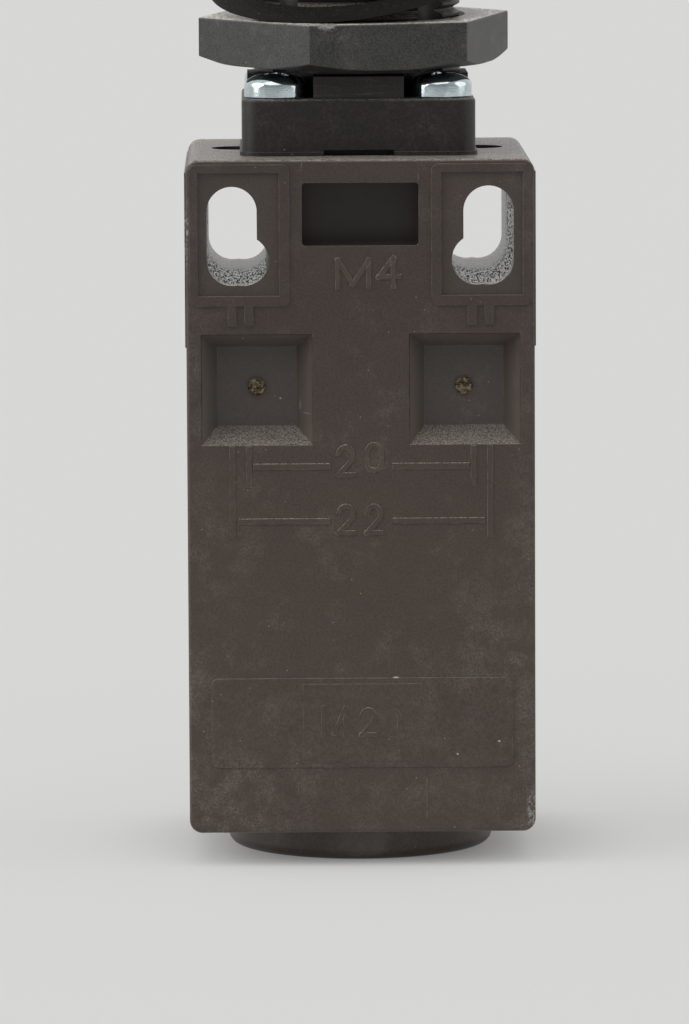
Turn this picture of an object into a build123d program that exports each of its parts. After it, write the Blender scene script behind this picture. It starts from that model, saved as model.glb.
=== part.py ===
from build123d import *
from math import radians, sin, cos
import os

os.makedirs("parts", exist_ok=True)

# A narrow plastic limit switch with an M18 roller plunger head, standing on its cable entry.
# Origin: the axis of the plunger and of the cable entry, at the bottom of the entry boss.
# +Z runs up the plunger, -Y is the mounting side with the slots, +Y is the cover side.

# Body shell
body_width = 29.9
body_depth = 30.0
body_height = 58.2
shoulder_height = 16.1
shoulder_step = 0.1
side_wall = 2.2
rear_wall = 2.2
floor_wall = 5.0
roof_wall = 16.1
rear_top_corner = 1.1
rear_bottom_corner = 1.1
cavity_corner = 1.6
edge_round = 0.3

# Cable entry boss, tapped M20
boss_radius = 11.6
boss_height = 3.0
boss_edge = 0.9
entry_radius = 9.2

# Mounting slots with the second hole spacing run into their lower ends
slot_spacing = 22.0
second_spacing = 20.0
slot_width = 4.3
slot_length = 8.5
slot_top_margin = 2.3

# Raised frame and shallow recess round each slot
mark_raise = 0.18
frame_inner_x = 6.1
frame_side_margin = 0.3
frame_below_slot = 1.74
frame_top_margin = 0.4
frame_corner = 0.6
frame_recess_width = 7.0
frame_recess_height = 10.6
frame_recess_depth = 0.2
frame_rib = 0.85
tab_width = 0.78
tab_pitch = 1.46
tab_centre_x = 10.3
tab_length = 1.7

# Square recesses with sloped walls below the slots
recess_mouth = 9.6
recess_floor = 6.85
recess_depth = 3.5
recess_centre_x = 8.93
recess_below_frame = 2.41
recess_back_wall = 1.8
step_below_recess = 1.45
gate_radius = 0.75
gate_height = 0.35

# Nut pocket at the top of the mounting face
pocket_width = 10.0
pocket_height = 5.4
pocket_top_margin = 2.0
pocket_depth = 3.8
pocket_corner = 0.3

# Raised panel low on the mounting face
panel_side_margin = 1.95
panel_height = 7.76
panel_bottom = 5.7
panel_raise = 0.1
insert_width = 10.2
insert_height = 6.76
insert_raise = 0.03

# Blind holes in the top face, each side of the head
top_hole_radius = 2.4
top_hole_inset = 4.55
top_hole_y = 2.0
top_hole_depth = 1.6

# Front cover, its gasket and its screws
cover_thickness = 3.0
cover_lap = 2.2
cover_gap = 0.1
cover_edge = 0.8
cover_field_inset = 2.4
cover_field_depth = 0.3
cover_field_bottom = 16.2
cover_field_corner = 1.5
skirt_clearance = 0.15
skirt_wall = 1.2
skirt_depth = 2.4
gasket_inset = 0.5
gasket_width = 0.9
gasket_depth = 0.8
gasket_clearance = 0.02
tongue_x = 5.5
tongue_width = 5.0
tongue_height = 0.9
tongue_thickness = 0.9
tongue_clearance = 0.3
cover_screw_inset = 4.4
cover_screw_z = 7.2
cover_post_radius = 2.5
cover_post_gap = 0.1
cover_screw_length = 10.0

# Small screws
m3_shank_radius = 1.4
m3_hole_radius = 1.42
m3_clearance_radius = 1.7
m3_hole_extra = 0.8
cover_screw_head_radius = 2.5
cover_screw_head_height = 1.9
cover_screw_sink_radius = 2.8
cover_screw_sink_depth = 2.2

# Plunger head: square flange, cross shaped neck, M18 collar
head_width = 20.2
head_height = 4.9
head_corner = 1.75
head_lip = 0.17
head_lip_height = 0.35
notch_width = 6.1
notch_height = 0.5
notch_depth = 1.5
neck_arm_width = 7.8
neck_arm_reach = 9.6
neck_arm_height = 1.9
neck_core_radius = 7.1
neck_height = 2.1
collar_radius = 9.0
collar_height = 20.0
collar_chamfer = 0.7
flute_radius = 2.0
head_screw_pitch = 14.3
head_screw_head_radius = 2.7
head_screw_rim = 1.1
head_screw_dome = 1.05
head_screw_grip = 5.0
head_gasket_inner = 6.95
head_gasket_width = 1.0
head_gasket_depth = 0.8
chamber_radius = 6.0
chamber_height = 12.6

# Two hexagon nuts and the loose washer between them
nut_across_flats = 24.2
nut_thickness = 4.0
nut_chamfer_radius = 12.2
nut_chamfer_height = 0.65
lower_nut_gap = 0.35
upper_nut_gap = 0.05
lower_nut_above_neck = 0.8
lower_nut_turn = 13.3
lower_nut_shift = -0.23
lower_nut_lean = 1.8
upper_nut_turn = 37.0
upper_nut_drop = 2.0
washer_outer_radius = 12.5
washer_inner_radius = 9.8
washer_thickness = 0.5
washer_tilt = 17.5
washer_heading = 23.0
washer_shift_x = -0.5
washer_shift_y = 0.2
washer_gap = 0.02

# Roller plunger
plunger_travel = 5.0
plunger_radius = 5.0
plunger_running_gap = 0.05
flange_radius = 5.85
flange_height = 1.8
flange_gap = 0.2
tail_radius = 2.8
tail_gap = 0.4
seal_outer_radius = 7.1
seal_recess_radius = 7.2
seal_recess_depth = 2.6
seal_lip = 0.8
seal_clearance = 0.3
roller_radius = 6.0
roller_width = 4.4
roller_edge = 0.4
roller_clearance = 3.8
fork_gap = 0.2
fork_above_axis = 3.0
fork_floor_gap = 0.6
fork_round = 1.2
pin_radius = 1.5
pin_fit = 0.02
pin_running_gap = 0.05
pin_inset = 0.4

# Springs, their wire drawn with a few flats
wire_sides = 6
return_spring_radius = 5.2
return_spring_wire = 0.7
return_spring_turns = 5
carrier_spring_radius = 2.0
carrier_spring_wire = 0.5
carrier_spring_turns = 5
bridge_spring_radius = 1.6
bridge_spring_wire = 0.4
no_spring_turns = 3
nc_spring_turns = 3

# Contact block
block_clearance = 0.3
block_roof_gap = 0.2
block_height = 22.2
block_front_gap = 1.2
block_wall = 0.8
block_back = 2.0
block_floor = 1.5
block_cover_gap = 0.8
block_cover_thickness = 1.2
guide_thickness = 1.2
guide_front_gap = 0.7
divider_height = 1.2
divider_reach = 1.1
spring_well_depth = 3.0
spring_well_wall = 0.6
spring_well_gap = 0.2
block_screw_inset = 3.3
block_screw_head_radius = 2.0
block_screw_head_height = 1.6
block_screw_length = 4.6

# Contact carrier and the two bridges
carrier_side_gap = 0.75
carrier_running_gap = 0.1
carrier_height = 13.5
carrier_roof_gap = 0.3
push_pin_radius = 2.6
push_pin_gap = 0.1
push_pin_hole_gap = 0.2
push_pin_bore_gap = 0.6
bridge_overhang = 0.9
bridge_width = 5.0
bridge_thickness = 0.8
button_radius = 1.0
button_height = 0.5
button_inset = 1.2
window_gap = 0.1
nc_window_height = 3.9
nc_window_top = 1.9
no_window_bottom = 1.25
no_window_height = 5.25
contact_touch_gap = 0.05
no_bridge_ratio = 0.5

# Fixed terminals, their screws and clamps
terminal_thickness = 0.8
terminal_reach = 6.75
terminal_plate_width = 4.5
terminal_plate_height = 5.0
terminal_screw_head_radius = 2.1
terminal_screw_head_height = 1.7
terminal_screw_length = 5.0
terminal_screw_radius = 1.3
clamp_size = 4.4
clamp_thickness = 1.0
clamp_hole_gap = 0.15

# Heights and faces worked out from the sizes above
body_bottom = boss_height
body_top = body_bottom + body_height
half_width = body_width / 2
half_depth = body_depth / 2
seam_y = half_depth - cover_thickness
cavity_half = half_width - side_wall
cavity_floor = body_bottom + floor_wall
cavity_top = body_top - roof_wall
cavity_back = -half_depth + rear_wall
step_face = -half_depth + recess_depth + recess_back_wall
skirt_end = seam_y - skirt_depth
slot_radius = slot_width / 2
slot_bottom = body_height - slot_top_margin - slot_length
frame_outer_x = half_width - frame_side_margin
frame_bottom = slot_bottom - frame_below_slot
frame_top = body_height - frame_top_margin
recess_centre_z = frame_bottom - recess_below_frame - recess_mouth / 2
step_bottom = recess_centre_z - recess_mouth / 2 - step_below_recess
pocket_bottom = body_height - pocket_top_margin - pocket_height
panel_width = body_width - 2 * panel_side_margin
top_hole_x = half_width - top_hole_inset
cover_height = body_height - roof_wall + cover_lap
cover_screw_x = half_width - cover_screw_inset
step_floor = body_bottom + step_bottom
slot_centre_z = body_bottom + slot_bottom + slot_length / 2
second_centre_z = body_bottom + slot_bottom + slot_radius
head_top = body_top + head_height
neck_top = head_top + neck_height
collar_top = neck_top + collar_height
lower_nut_bottom = neck_top + lower_nut_above_neck
lower_nut_top = lower_nut_bottom + nut_thickness
upper_nut_bottom = collar_top - upper_nut_drop - nut_thickness
chamber_top = body_top + chamber_height
flange_top = chamber_top - flange_gap
flange_bottom = flange_top - flange_height
tail_end = body_top + tail_gap + push_pin_gap
roller_axis = collar_top + seal_lip + plunger_travel + roller_clearance
fork_top = roller_axis + fork_above_axis
fork_floor = roller_axis - roller_radius - fork_floor_gap
fork_slot = roller_width + 2 * fork_gap
block_top = cavity_top - block_roof_gap
block_bottom = block_top - block_height
block_half = cavity_half - block_clearance
block_front = bridge_width / 2 + block_front_gap
block_depth = block_front - step_face
block_room_half = block_half - block_wall
block_room_back = step_face + block_back
block_room_floor = block_bottom + block_floor
block_room_top = block_top - block_floor
terminal_inner_x = block_room_half - terminal_reach
carrier_half_width = terminal_inner_x - carrier_side_gap
guide_depth = -bridge_width / 2 - guide_front_gap - block_room_back
button_x = terminal_inner_x + button_inset
bridge_half_length = button_x + bridge_overhang
spring_well_radius = carrier_spring_radius + carrier_spring_wire / 2 + spring_well_gap
spring_seat = block_room_floor - spring_well_depth
carrier_top = block_room_top - carrier_roof_gap
carrier_bottom = carrier_top - carrier_height
carrier_back = block_room_back + carrier_running_gap
carrier_front = block_front - carrier_running_gap
push_pin_top = tail_end - push_pin_gap
tail_bore_radius = push_pin_radius + push_pin_bore_gap
nc_window_ceiling = carrier_top - nc_window_top
nc_window_floor = nc_window_ceiling - nc_window_height
nc_bridge_top = nc_window_ceiling - window_gap
nc_bridge_bottom = nc_bridge_top - bridge_thickness
no_window_floor = carrier_bottom + no_window_bottom
no_window_ceiling = no_window_floor + no_window_height
no_bridge_bottom = no_window_floor + window_gap
no_bridge_top = no_bridge_bottom + bridge_thickness
nc_tab_bottom = nc_bridge_top + 2 * button_height + contact_touch_gap
no_tab_top = no_bridge_bottom - 2 * button_height - no_bridge_ratio * plunger_travel - contact_touch_gap
terminal_centre_x = block_room_half - terminal_plate_width / 2
terminal_front = block_front
block_cover_width = 2 * (terminal_centre_x - clamp_size / 2 - block_cover_gap)
no_plate_bottom = no_tab_top - terminal_thickness
block_screw_x = block_room_half - block_screw_inset
block_screw_z = (no_tab_top + nc_tab_bottom) / 2
block_spots = [(side * block_screw_x, block_screw_z) for side in (-1, 1)]
cover_screw_spots = [(side * cover_screw_x, body_bottom + cover_screw_z) for side in (-1, 1)]
tongue_spots = [(side * tongue_x, skirt_end + tongue_thickness / 2) for side in (-1, 1)]


# The housing: one moulded shell, open at the front, with the cable entry boss under it
with BuildPart() as housing:
    with BuildSketch(Plane.XZ.offset(half_depth)):
        with Locations((0, body_bottom + body_height / 2)):
            Rectangle(body_width, body_height)
    extrude(amount=-body_depth)
    fillet(housing.edges().filter_by(Axis.Y).group_by(Axis.Z)[-1], rear_top_corner)
    fillet(housing.edges().filter_by(Axis.Y).group_by(Axis.Z)[0], rear_bottom_corner)
    fillet(housing.faces().sort_by(Axis.Y)[0].edges(), edge_round)

    # The upper part stands a little proud at both sides
    with BuildSketch(Plane.XZ.offset(half_depth - edge_round)):
        with Locations((0, body_top - shoulder_height)):
            Rectangle(
                body_width + 2 * shoulder_step,
                shoulder_height - rear_top_corner,
                align=(Align.CENTER, Align.MIN),
            )
    extrude(amount=-(body_depth - edge_round))

    # Boss of the cable entry
    with BuildSketch(Plane.XY):
        Circle(boss_radius)
    extrude(amount=body_bottom + edge_round)
    fillet(housing.faces().sort_by(Axis.Z)[0].edges(), boss_edge)

    # Seat of the front cover
    with BuildSketch(Plane.XZ.offset(-seam_y)):
        with Locations((0, body_bottom)):
            Rectangle(body_width + 4 * shoulder_step, cover_height, align=(Align.CENTER, Align.MIN))
    extrude(amount=-cover_thickness, mode=Mode.SUBTRACT)

    # Wiring room, then the shallower room in front of the square recesses
    with BuildSketch(Plane.XZ.offset(-seam_y)):
        with Locations((0, (cavity_floor + cavity_top) / 2)):
            RectangleRounded(2 * cavity_half, cavity_top - cavity_floor, cavity_corner)
    extrude(amount=seam_y - step_face, mode=Mode.SUBTRACT)
    with BuildSketch(Plane.XZ.offset(-step_face)):
        with Locations((0, (cavity_floor + step_floor) / 2)):
            RectangleRounded(2 * cavity_half, step_floor - cavity_floor, cavity_corner)
    extrude(amount=step_face - cavity_back, mode=Mode.SUBTRACT)

    # Posts for the cover screws and for the contact block
    with BuildSketch(Plane.XZ.offset(-cavity_back)):
        with Locations(*cover_screw_spots):
            Circle(cover_post_radius)
    extrude(amount=-(skirt_end - cover_post_gap - cavity_back))
    with BuildSketch(Plane.XZ.offset(-cavity_back)):
        with Locations(*block_spots):
            Circle(block_screw_head_radius)
    extrude(amount=-(step_face - cavity_back))
    with BuildSketch(Plane.XZ.offset(-step_face)):
        with Locations(*block_spots):
            Circle(m3_hole_radius)
    extrude(amount=block_screw_length - block_back + edge_round, mode=Mode.SUBTRACT)
    with BuildSketch(Plane.XZ.offset(-(skirt_end - cover_post_gap))):
        with Locations(*cover_screw_spots):
            Circle(m3_hole_radius)
    extrude(amount=cover_screw_length, mode=Mode.SUBTRACT)

    # Cable entry through the boss and the floor
    with BuildSketch(Plane.XY):
        Circle(entry_radius)
    extrude(amount=cavity_floor, mode=Mode.SUBTRACT)

    # Groove for the cover gasket and pockets for the cover's tongues
    with BuildSketch(Plane.XZ.offset(-seam_y)):
        with Locations((0, (cavity_floor + cavity_top) / 2)):
            RectangleRounded(
                2 * (cavity_half + gasket_inset + gasket_width),
                cavity_top - cavity_floor + 2 * (gasket_inset + gasket_width),
                cavity_corner + gasket_inset + gasket_width,
            )
            RectangleRounded(
                2 * (cavity_half + gasket_inset),
                cavity_top - cavity_floor + 2 * gasket_inset,
                cavity_corner + gasket_inset,
                mode=Mode.SUBTRACT,
            )
    extrude(amount=gasket_depth, mode=Mode.SUBTRACT)
    with BuildSketch(Plane.XY.offset(cavity_top)):
        with Locations(*tongue_spots):
            Rectangle(tongue_width + 2 * tongue_clearance, tongue_thickness + 2 * tongue_clearance)
    extrude(amount=tongue_height + tongue_clearance, mode=Mode.SUBTRACT)

    # Bore for the plunger's tail and the carrier's push pin
    with BuildSketch(Plane.XY.offset(cavity_top - edge_round)):
        Circle(tail_bore_radius)
    extrude(amount=body_top - cavity_top + 2 * edge_round, mode=Mode.SUBTRACT)

    # Screw holes of the head and the blind holes beside it
    with BuildSketch(Plane.XY.offset(body_top)):
        with GridLocations(head_screw_pitch, head_screw_pitch, 2, 2):
            Circle(m3_hole_radius)
    extrude(amount=-(head_screw_grip + m3_hole_extra), mode=Mode.SUBTRACT)
    with BuildSketch(Plane.XY.offset(body_top)):
        with Locations((-top_hole_x, top_hole_y), (top_hole_x, top_hole_y)):
            Circle(top_hole_radius)
    extrude(amount=-top_hole_depth, mode=Mode.SUBTRACT)

    # Raised frames, tabs and panel of the mounting face
    with BuildSketch(Plane.XZ.offset(half_depth)):
        for side in (-1, 1):
            with Locations((side * (frame_inner_x + frame_outer_x) / 2, body_bottom + frame_bottom)):
                RectangleRounded(
                    frame_outer_x - frame_inner_x,
                    frame_top - frame_bottom,
                    frame_corner,
                    align=(Align.CENTER, Align.MIN),
                )
            with Locations((side * tab_centre_x, body_bottom + frame_bottom)):
                with GridLocations(tab_pitch, 0, 2, 1):
                    Rectangle(tab_width, 2 * tab_length)
    extrude(amount=mark_raise)
    with BuildSketch(Plane.XZ.offset(half_depth)):
        with Locations((0, body_bottom + panel_bottom + panel_height / 2)):
            RectangleRounded(panel_width, panel_height, frame_corner)
    extrude(amount=panel_raise)
    with BuildSketch(Plane.XZ.offset(half_depth + panel_raise)):
        with Locations((0, body_bottom + panel_bottom + panel_height / 2)):
            Rectangle(insert_width, insert_height)
    extrude(amount=insert_raise)

    # Shallow recess inside each frame, then the slot through it
    with BuildSketch(Plane.XZ.offset(half_depth + mark_raise)):
        for side in (-1, 1):
            with Locations((
                side * (frame_inner_x + frame_rib + frame_recess_width / 2),
                body_bottom + frame_bottom + frame_rib + frame_recess_height / 2,
            )):
                Rectangle(frame_recess_width, frame_recess_height)
    extrude(amount=-(mark_raise + frame_recess_depth), mode=Mode.SUBTRACT)
    with BuildSketch(Plane.XZ.offset(half_depth)):
        for side in (-1, 1):
            with Locations((side * slot_spacing / 2, slot_centre_z)):
                SlotOverall(slot_length, slot_width, rotation=90)
            with Locations((side * second_spacing / 2, second_centre_z)):
                Circle(slot_radius)
    extrude(amount=-body_depth, mode=Mode.SUBTRACT)

    # Nut pocket
    with BuildSketch(Plane.XZ.offset(half_depth)):
        with Locations((0, body_bottom + pocket_bottom + pocket_height / 2)):
            RectangleRounded(pocket_width, pocket_height, pocket_corner)
    extrude(amount=-pocket_depth, mode=Mode.SUBTRACT)

    # Square recesses with sloped walls, each with the stub of its moulding gate
    for side in (-1, 1):
        with BuildSketch(Plane.XZ.offset(half_depth)):
            with Locations((side * recess_centre_x, body_bottom + recess_centre_z)):
                Rectangle(recess_mouth, recess_mouth)
        with BuildSketch(Plane.XZ.offset(half_depth - recess_depth)):
            with Locations((side * recess_centre_x, body_bottom + recess_centre_z)):
                Rectangle(recess_floor, recess_floor)
        loft(mode=Mode.SUBTRACT)
    with BuildSketch(Plane.XZ.offset(half_depth - recess_depth)):
        with Locations(
            (-recess_centre_x, body_bottom + recess_centre_z),
            (recess_centre_x, body_bottom + recess_centre_z),
        ):
            Circle(gate_radius)
    extrude(amount=gate_height)
housing.part.label = "housing"
export_step(housing.part, "parts/housing.step")


# The front cover: a plate with a locating skirt, two tongues and two screw posts
with BuildPart() as front_cover:
    with BuildSketch(Plane.XZ.offset(-seam_y)):
        with Locations((0, body_bottom)):
            Rectangle(body_width, cover_height - cover_gap, align=(Align.CENTER, Align.MIN))
    extrude(amount=-cover_thickness)
    fillet(front_cover.edges().filter_by(Axis.Y).group_by(Axis.Z)[0], rear_bottom_corner)
    fillet(front_cover.faces().sort_by(Axis.Y)[-1].edges(), min(cover_edge, cover_thickness / 3))
    with BuildSketch(Plane.XZ.offset(-half_depth)):
        with Locations((0, body_bottom + cover_height - cover_field_inset)):
            RectangleRounded(
                body_width - 2 * cover_field_inset,
                cover_height - cover_field_inset - cover_field_bottom,
                cover_field_corner,
                align=(Align.CENTER, Align.MAX),
            )
    extrude(amount=cover_field_depth, mode=Mode.SUBTRACT)
    with BuildSketch(Plane.XZ.offset(-seam_y)):
        with Locations((0, (cavity_floor + cavity_top) / 2)):
            RectangleRounded(
                2 * (cavity_half - skirt_clearance),
                cavity_top - cavity_floor - 2 * skirt_clearance,
                cavity_corner - skirt_clearance,
            )
            Rectangle(
                2 * (cavity_half - skirt_clearance - skirt_wall),
                cavity_top - cavity_floor - 2 * (skirt_clearance + skirt_wall),
                mode=Mode.SUBTRACT,
            )
    extrude(amount=skirt_depth)
    with BuildSketch(Plane.XZ.offset(-seam_y)):
        with Locations(*cover_screw_spots):
            Circle(cover_post_radius - skirt_clearance)
        with Locations((0, (cavity_floor + cavity_top) / 2)):
            RectangleRounded(
                2 * (cavity_half - skirt_clearance),
                cavity_top - cavity_floor - 2 * skirt_clearance,
                cavity_corner - skirt_clearance,
                mode=Mode.INTERSECT,
            )
    extrude(amount=skirt_depth)
    with BuildSketch(Plane.XY.offset(cavity_top - skirt_clearance - skirt_wall)):
        with Locations(*tongue_spots):
            Rectangle(tongue_width, tongue_thickness)
    extrude(amount=skirt_wall + skirt_clearance + tongue_height)
    with BuildSketch(Plane.XZ.offset(-half_depth)):
        with Locations(*cover_screw_spots):
            Circle(cover_screw_sink_radius)
    extrude(amount=cover_screw_sink_depth, mode=Mode.SUBTRACT)
    with BuildSketch(Plane.XZ.offset(-half_depth)):
        with Locations(*cover_screw_spots):
            Circle(m3_clearance_radius)
    extrude(amount=cover_thickness + skirt_depth, mode=Mode.SUBTRACT)
front_cover.part.label = "front_cover"
export_step(front_cover.part, "parts/front_cover.step")


# The cover gasket lies in its groove in the rim of the housing
with BuildPart() as cover_gasket:
    with BuildSketch(Plane.XZ.offset(-seam_y)):
        with Locations((0, (cavity_floor + cavity_top) / 2)):
            RectangleRounded(
                2 * (cavity_half + gasket_inset + gasket_width - gasket_clearance),
                cavity_top - cavity_floor + 2 * (gasket_inset + gasket_width - gasket_clearance),
                cavity_corner + gasket_inset + gasket_width - gasket_clearance,
            )
            RectangleRounded(
                2 * (cavity_half + gasket_inset + gasket_clearance),
                cavity_top - cavity_floor + 2 * (gasket_inset + gasket_clearance),
                cavity_corner + gasket_inset + gasket_clearance,
                mode=Mode.SUBTRACT,
            )
    extrude(amount=gasket_depth)
cover_gasket.part.label = "cover_gasket"
export_step(cover_gasket.part, "parts/cover_gasket.step")


# Two screws hold the cover at its lower corners
sink_floor_y = half_depth - cover_screw_sink_depth
with BuildPart() as cover_screws:
    for side in (-1, 1):
        with BuildSketch(Plane.XZ.offset(-sink_floor_y)):
            with Locations((side * cover_screw_x, body_bottom + cover_screw_z)):
                Circle(cover_screw_head_radius)
        extrude(amount=-cover_screw_head_height)
        with BuildSketch(Plane.XZ.offset(-sink_floor_y)):
            with Locations((side * cover_screw_x, body_bottom + cover_screw_z)):
                Circle(m3_shank_radius)
        extrude(amount=cover_screw_length)
cover_screws.part.label = "cover_screws"
export_step(cover_screws.part, "parts/cover_screws.step")


# The plunger head: flange, neck and fluted M18 collar, moulded as one piece
with BuildPart() as plunger_head:
    with BuildSketch(Plane.XY.offset(body_top)):
        RectangleRounded(head_width, head_width, head_corner)
    extrude(amount=head_height)
    fillet(plunger_head.faces().sort_by(Axis.Z)[-1].edges(), edge_round)
    with BuildSketch(Plane.XY.offset(body_top)):
        RectangleRounded(head_width + 2 * head_lip, head_width + 2 * head_lip, head_corner + head_lip)
    extrude(amount=head_lip_height)

    # Cross shaped neck between the screw heads
    with BuildSketch(Plane.XY.offset(head_top)):
        Rectangle(neck_arm_width, 2 * neck_arm_reach)
        Rectangle(2 * neck_arm_reach, neck_arm_width)
    extrude(amount=neck_arm_height)
    with BuildSketch(Plane.XY.offset(head_top)):
        Circle(neck_core_radius)
    extrude(amount=neck_height)

    # Collar, with a screwdriver flute above each screw
    with BuildSketch(Plane.XY.offset(neck_top)):
        Circle(collar_radius)
    extrude(amount=collar_height)
    chamfer(plunger_head.faces().sort_by(Axis.Z)[-1].edges(), collar_chamfer)
    with BuildSketch(Plane.XY.offset(neck_top)):
        with GridLocations(head_screw_pitch, head_screw_pitch, 2, 2):
            Circle(flute_radius)
    extrude(amount=collar_height, mode=Mode.SUBTRACT)

    # Spring chamber, plunger bore, seal recess and gasket groove
    with BuildSketch(Plane.XY.offset(body_top)):
        Circle(chamber_radius)
    extrude(amount=chamber_height, mode=Mode.SUBTRACT)
    with BuildSketch(Plane.XY.offset(chamber_top)):
        Circle(plunger_radius + plunger_running_gap)
    extrude(amount=collar_top - chamber_top, mode=Mode.SUBTRACT)
    with BuildSketch(Plane.XY.offset(collar_top)):
        Circle(seal_recess_radius)
    extrude(amount=-seal_recess_depth, mode=Mode.SUBTRACT)
    with BuildSketch(Plane.XY.offset(body_top)):
        Circle(head_gasket_inner + head_gasket_width)
        Circle(head_gasket_inner, mode=Mode.SUBTRACT)
    extrude(amount=head_gasket_depth, mode=Mode.SUBTRACT)

    # Screw holes and the notches under the flange
    with BuildSketch(Plane.XY.offset(body_top)):
        with GridLocations(head_screw_pitch, head_screw_pitch, 2, 2):
            Circle(m3_clearance_radius)
    extrude(amount=head_height, mode=Mode.SUBTRACT)
    with BuildSketch(Plane.XY.offset(body_top)):
        with Locations((0, -head_width / 2), (0, head_width / 2)):
            Rectangle(notch_width, 2 * notch_depth)
    extrude(amount=notch_height, mode=Mode.SUBTRACT)
plunger_head.part.label = "plunger_head"
export_step(plunger_head.part, "parts/plunger_head.step")


# The gasket ring under the head
with BuildPart() as head_gasket:
    with BuildSketch(Plane.XY.offset(body_top)):
        Circle(head_gasket_inner + head_gasket_width - gasket_clearance)
        Circle(head_gasket_inner + gasket_clearance, mode=Mode.SUBTRACT)
    extrude(amount=head_gasket_depth)
head_gasket.part.label = "head_gasket"
export_step(head_gasket.part, "parts/head_gasket.step")


# Four pan head screws hold the head on the housing
with BuildPart() as head_screws:
    with BuildSketch(Plane.XY.offset(head_top)):
        with GridLocations(head_screw_pitch, head_screw_pitch, 2, 2):
            Circle(head_screw_head_radius)
    extrude(amount=head_screw_rim + head_screw_dome)
    fillet(head_screws.faces().filter_by(Axis.Z).group_by(Axis.Z)[-1].edges(), head_screw_dome)
    with BuildSketch(Plane.XY.offset(head_top)):
        with GridLocations(head_screw_pitch, head_screw_pitch, 2, 2):
            Circle(m3_shank_radius)
    extrude(amount=-(head_height + head_screw_grip))
head_screws.part.label = "head_screws"
export_step(head_screws.part, "parts/head_screws.step")


# The two hexagon nuts of the collar, chamfered on their lower side; the lower one sits loose and leans
nut_corner_radius = nut_across_flats / 2 / cos(radians(30))
for nut_name, nut_bottom, nut_turn, nut_gap, nut_shift, nut_lean in (
    ("lower_nut", lower_nut_bottom, lower_nut_turn, lower_nut_gap, lower_nut_shift, lower_nut_lean),
    ("upper_nut", upper_nut_bottom, upper_nut_turn, upper_nut_gap, 0, 0),
):
    with BuildPart() as nut:
        with BuildSketch(Plane.XY):
            RegularPolygon(nut_corner_radius, 6, rotation=nut_turn)
        extrude(amount=nut_thickness)
        with BuildSketch(Plane.XZ):
            with BuildLine():
                Polyline(
                    (0, 0),
                    (nut_chamfer_radius, 0),
                    (nut_corner_radius + edge_round, nut_chamfer_height),
                    (nut_corner_radius + edge_round, nut_thickness),
                    (0, nut_thickness),
                    close=True,
                )
            make_face()
        revolve(axis=Axis.Z, mode=Mode.INTERSECT)
        with BuildSketch(Plane.XY):
            Circle(collar_radius + nut_gap)
        extrude(amount=nut_thickness, mode=Mode.SUBTRACT)
    nut_seat = Location((nut_shift, 0, nut_bottom), (nut_lean, 0, 0))
    seated_nut = nut.part.moved(nut_seat)
    seated_nut.label = nut_name
    export_step(seated_nut, "parts/" + nut_name + ".step")


# The loose washer leans on the collar, its low edge on the lower nut
washer_rise = washer_outer_radius * sin(radians(washer_tilt))
washer_up = cos(radians(washer_tilt))
washer_low_y = washer_outer_radius * washer_up * cos(radians(washer_heading))
washer_seat_z = lower_nut_top + washer_gap - washer_low_y * sin(radians(lower_nut_lean))
washer_centre_z = washer_seat_z + washer_rise + washer_thickness / 2 * washer_up
washer_lean_x = sin(radians(washer_heading)) * sin(radians(washer_tilt))
washer_lean_y = cos(radians(washer_heading)) * sin(radians(washer_tilt))
washer_centre = (washer_shift_x, washer_shift_y, washer_centre_z)
washer_plane = Plane(origin=washer_centre, z_dir=(-washer_lean_x, -washer_lean_y, washer_up))
with BuildPart() as panel_washer:
    with BuildSketch(washer_plane):
        Circle(washer_outer_radius)
        Circle(washer_inner_radius, mode=Mode.SUBTRACT)
    extrude(amount=washer_thickness / 2, both=True)
panel_washer.part.label = "panel_washer"
export_step(panel_washer.part, "parts/panel_washer.step")


# The wiper seal in the top of the collar
seal_inner_radius = plunger_radius + seal_clearance
with BuildPart() as wiper_seal:
    with BuildSketch(Plane.XZ):
        with BuildLine():
            Polyline(
                (seal_inner_radius, collar_top - seal_recess_depth),
                (seal_outer_radius, collar_top - seal_recess_depth),
                (seal_outer_radius, collar_top),
                (seal_inner_radius + seal_lip, collar_top),
                (seal_inner_radius + seal_lip / 2, collar_top + seal_lip),
                (seal_inner_radius, collar_top + seal_lip),
                close=True,
            )
        make_face()
    revolve(axis=Axis.Z)
wiper_seal.part.label = "wiper_seal"
export_step(wiper_seal.part, "parts/wiper_seal.step")


# The plunger: forked head, guide stem, stop flange and tail, turned and milled from one bar
with BuildPart() as plunger:
    with BuildSketch(Plane.XZ):
        with BuildLine():
            Polyline(
                (0, tail_end),
                (tail_radius, tail_end),
                (tail_radius, flange_bottom),
                (flange_radius, flange_bottom),
                (flange_radius, flange_top),
                (plunger_radius, flange_top),
                (plunger_radius, fork_top),
                (0, fork_top),
                close=True,
            )
        make_face()
    revolve(axis=Axis.Z)
    with BuildSketch(Plane.XY.offset(fork_floor)):
        Rectangle(2 * plunger_radius, fork_slot)
    extrude(amount=fork_top - fork_floor, mode=Mode.SUBTRACT)
    with BuildSketch(Plane.XZ.offset(-plunger_radius)):
        with Locations((0, roller_axis)):
            Circle(pin_radius + pin_fit)
    extrude(amount=2 * plunger_radius, mode=Mode.SUBTRACT)
    fork_ends = plunger.faces().filter_by(Axis.Z).sort_by(Axis.Z)[-2:]
    fillet(fork_ends.edges().filter_by(GeomType.CIRCLE), fork_round)
plunger.part.label = "plunger"
export_step(plunger.part, "parts/plunger.step")


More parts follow.
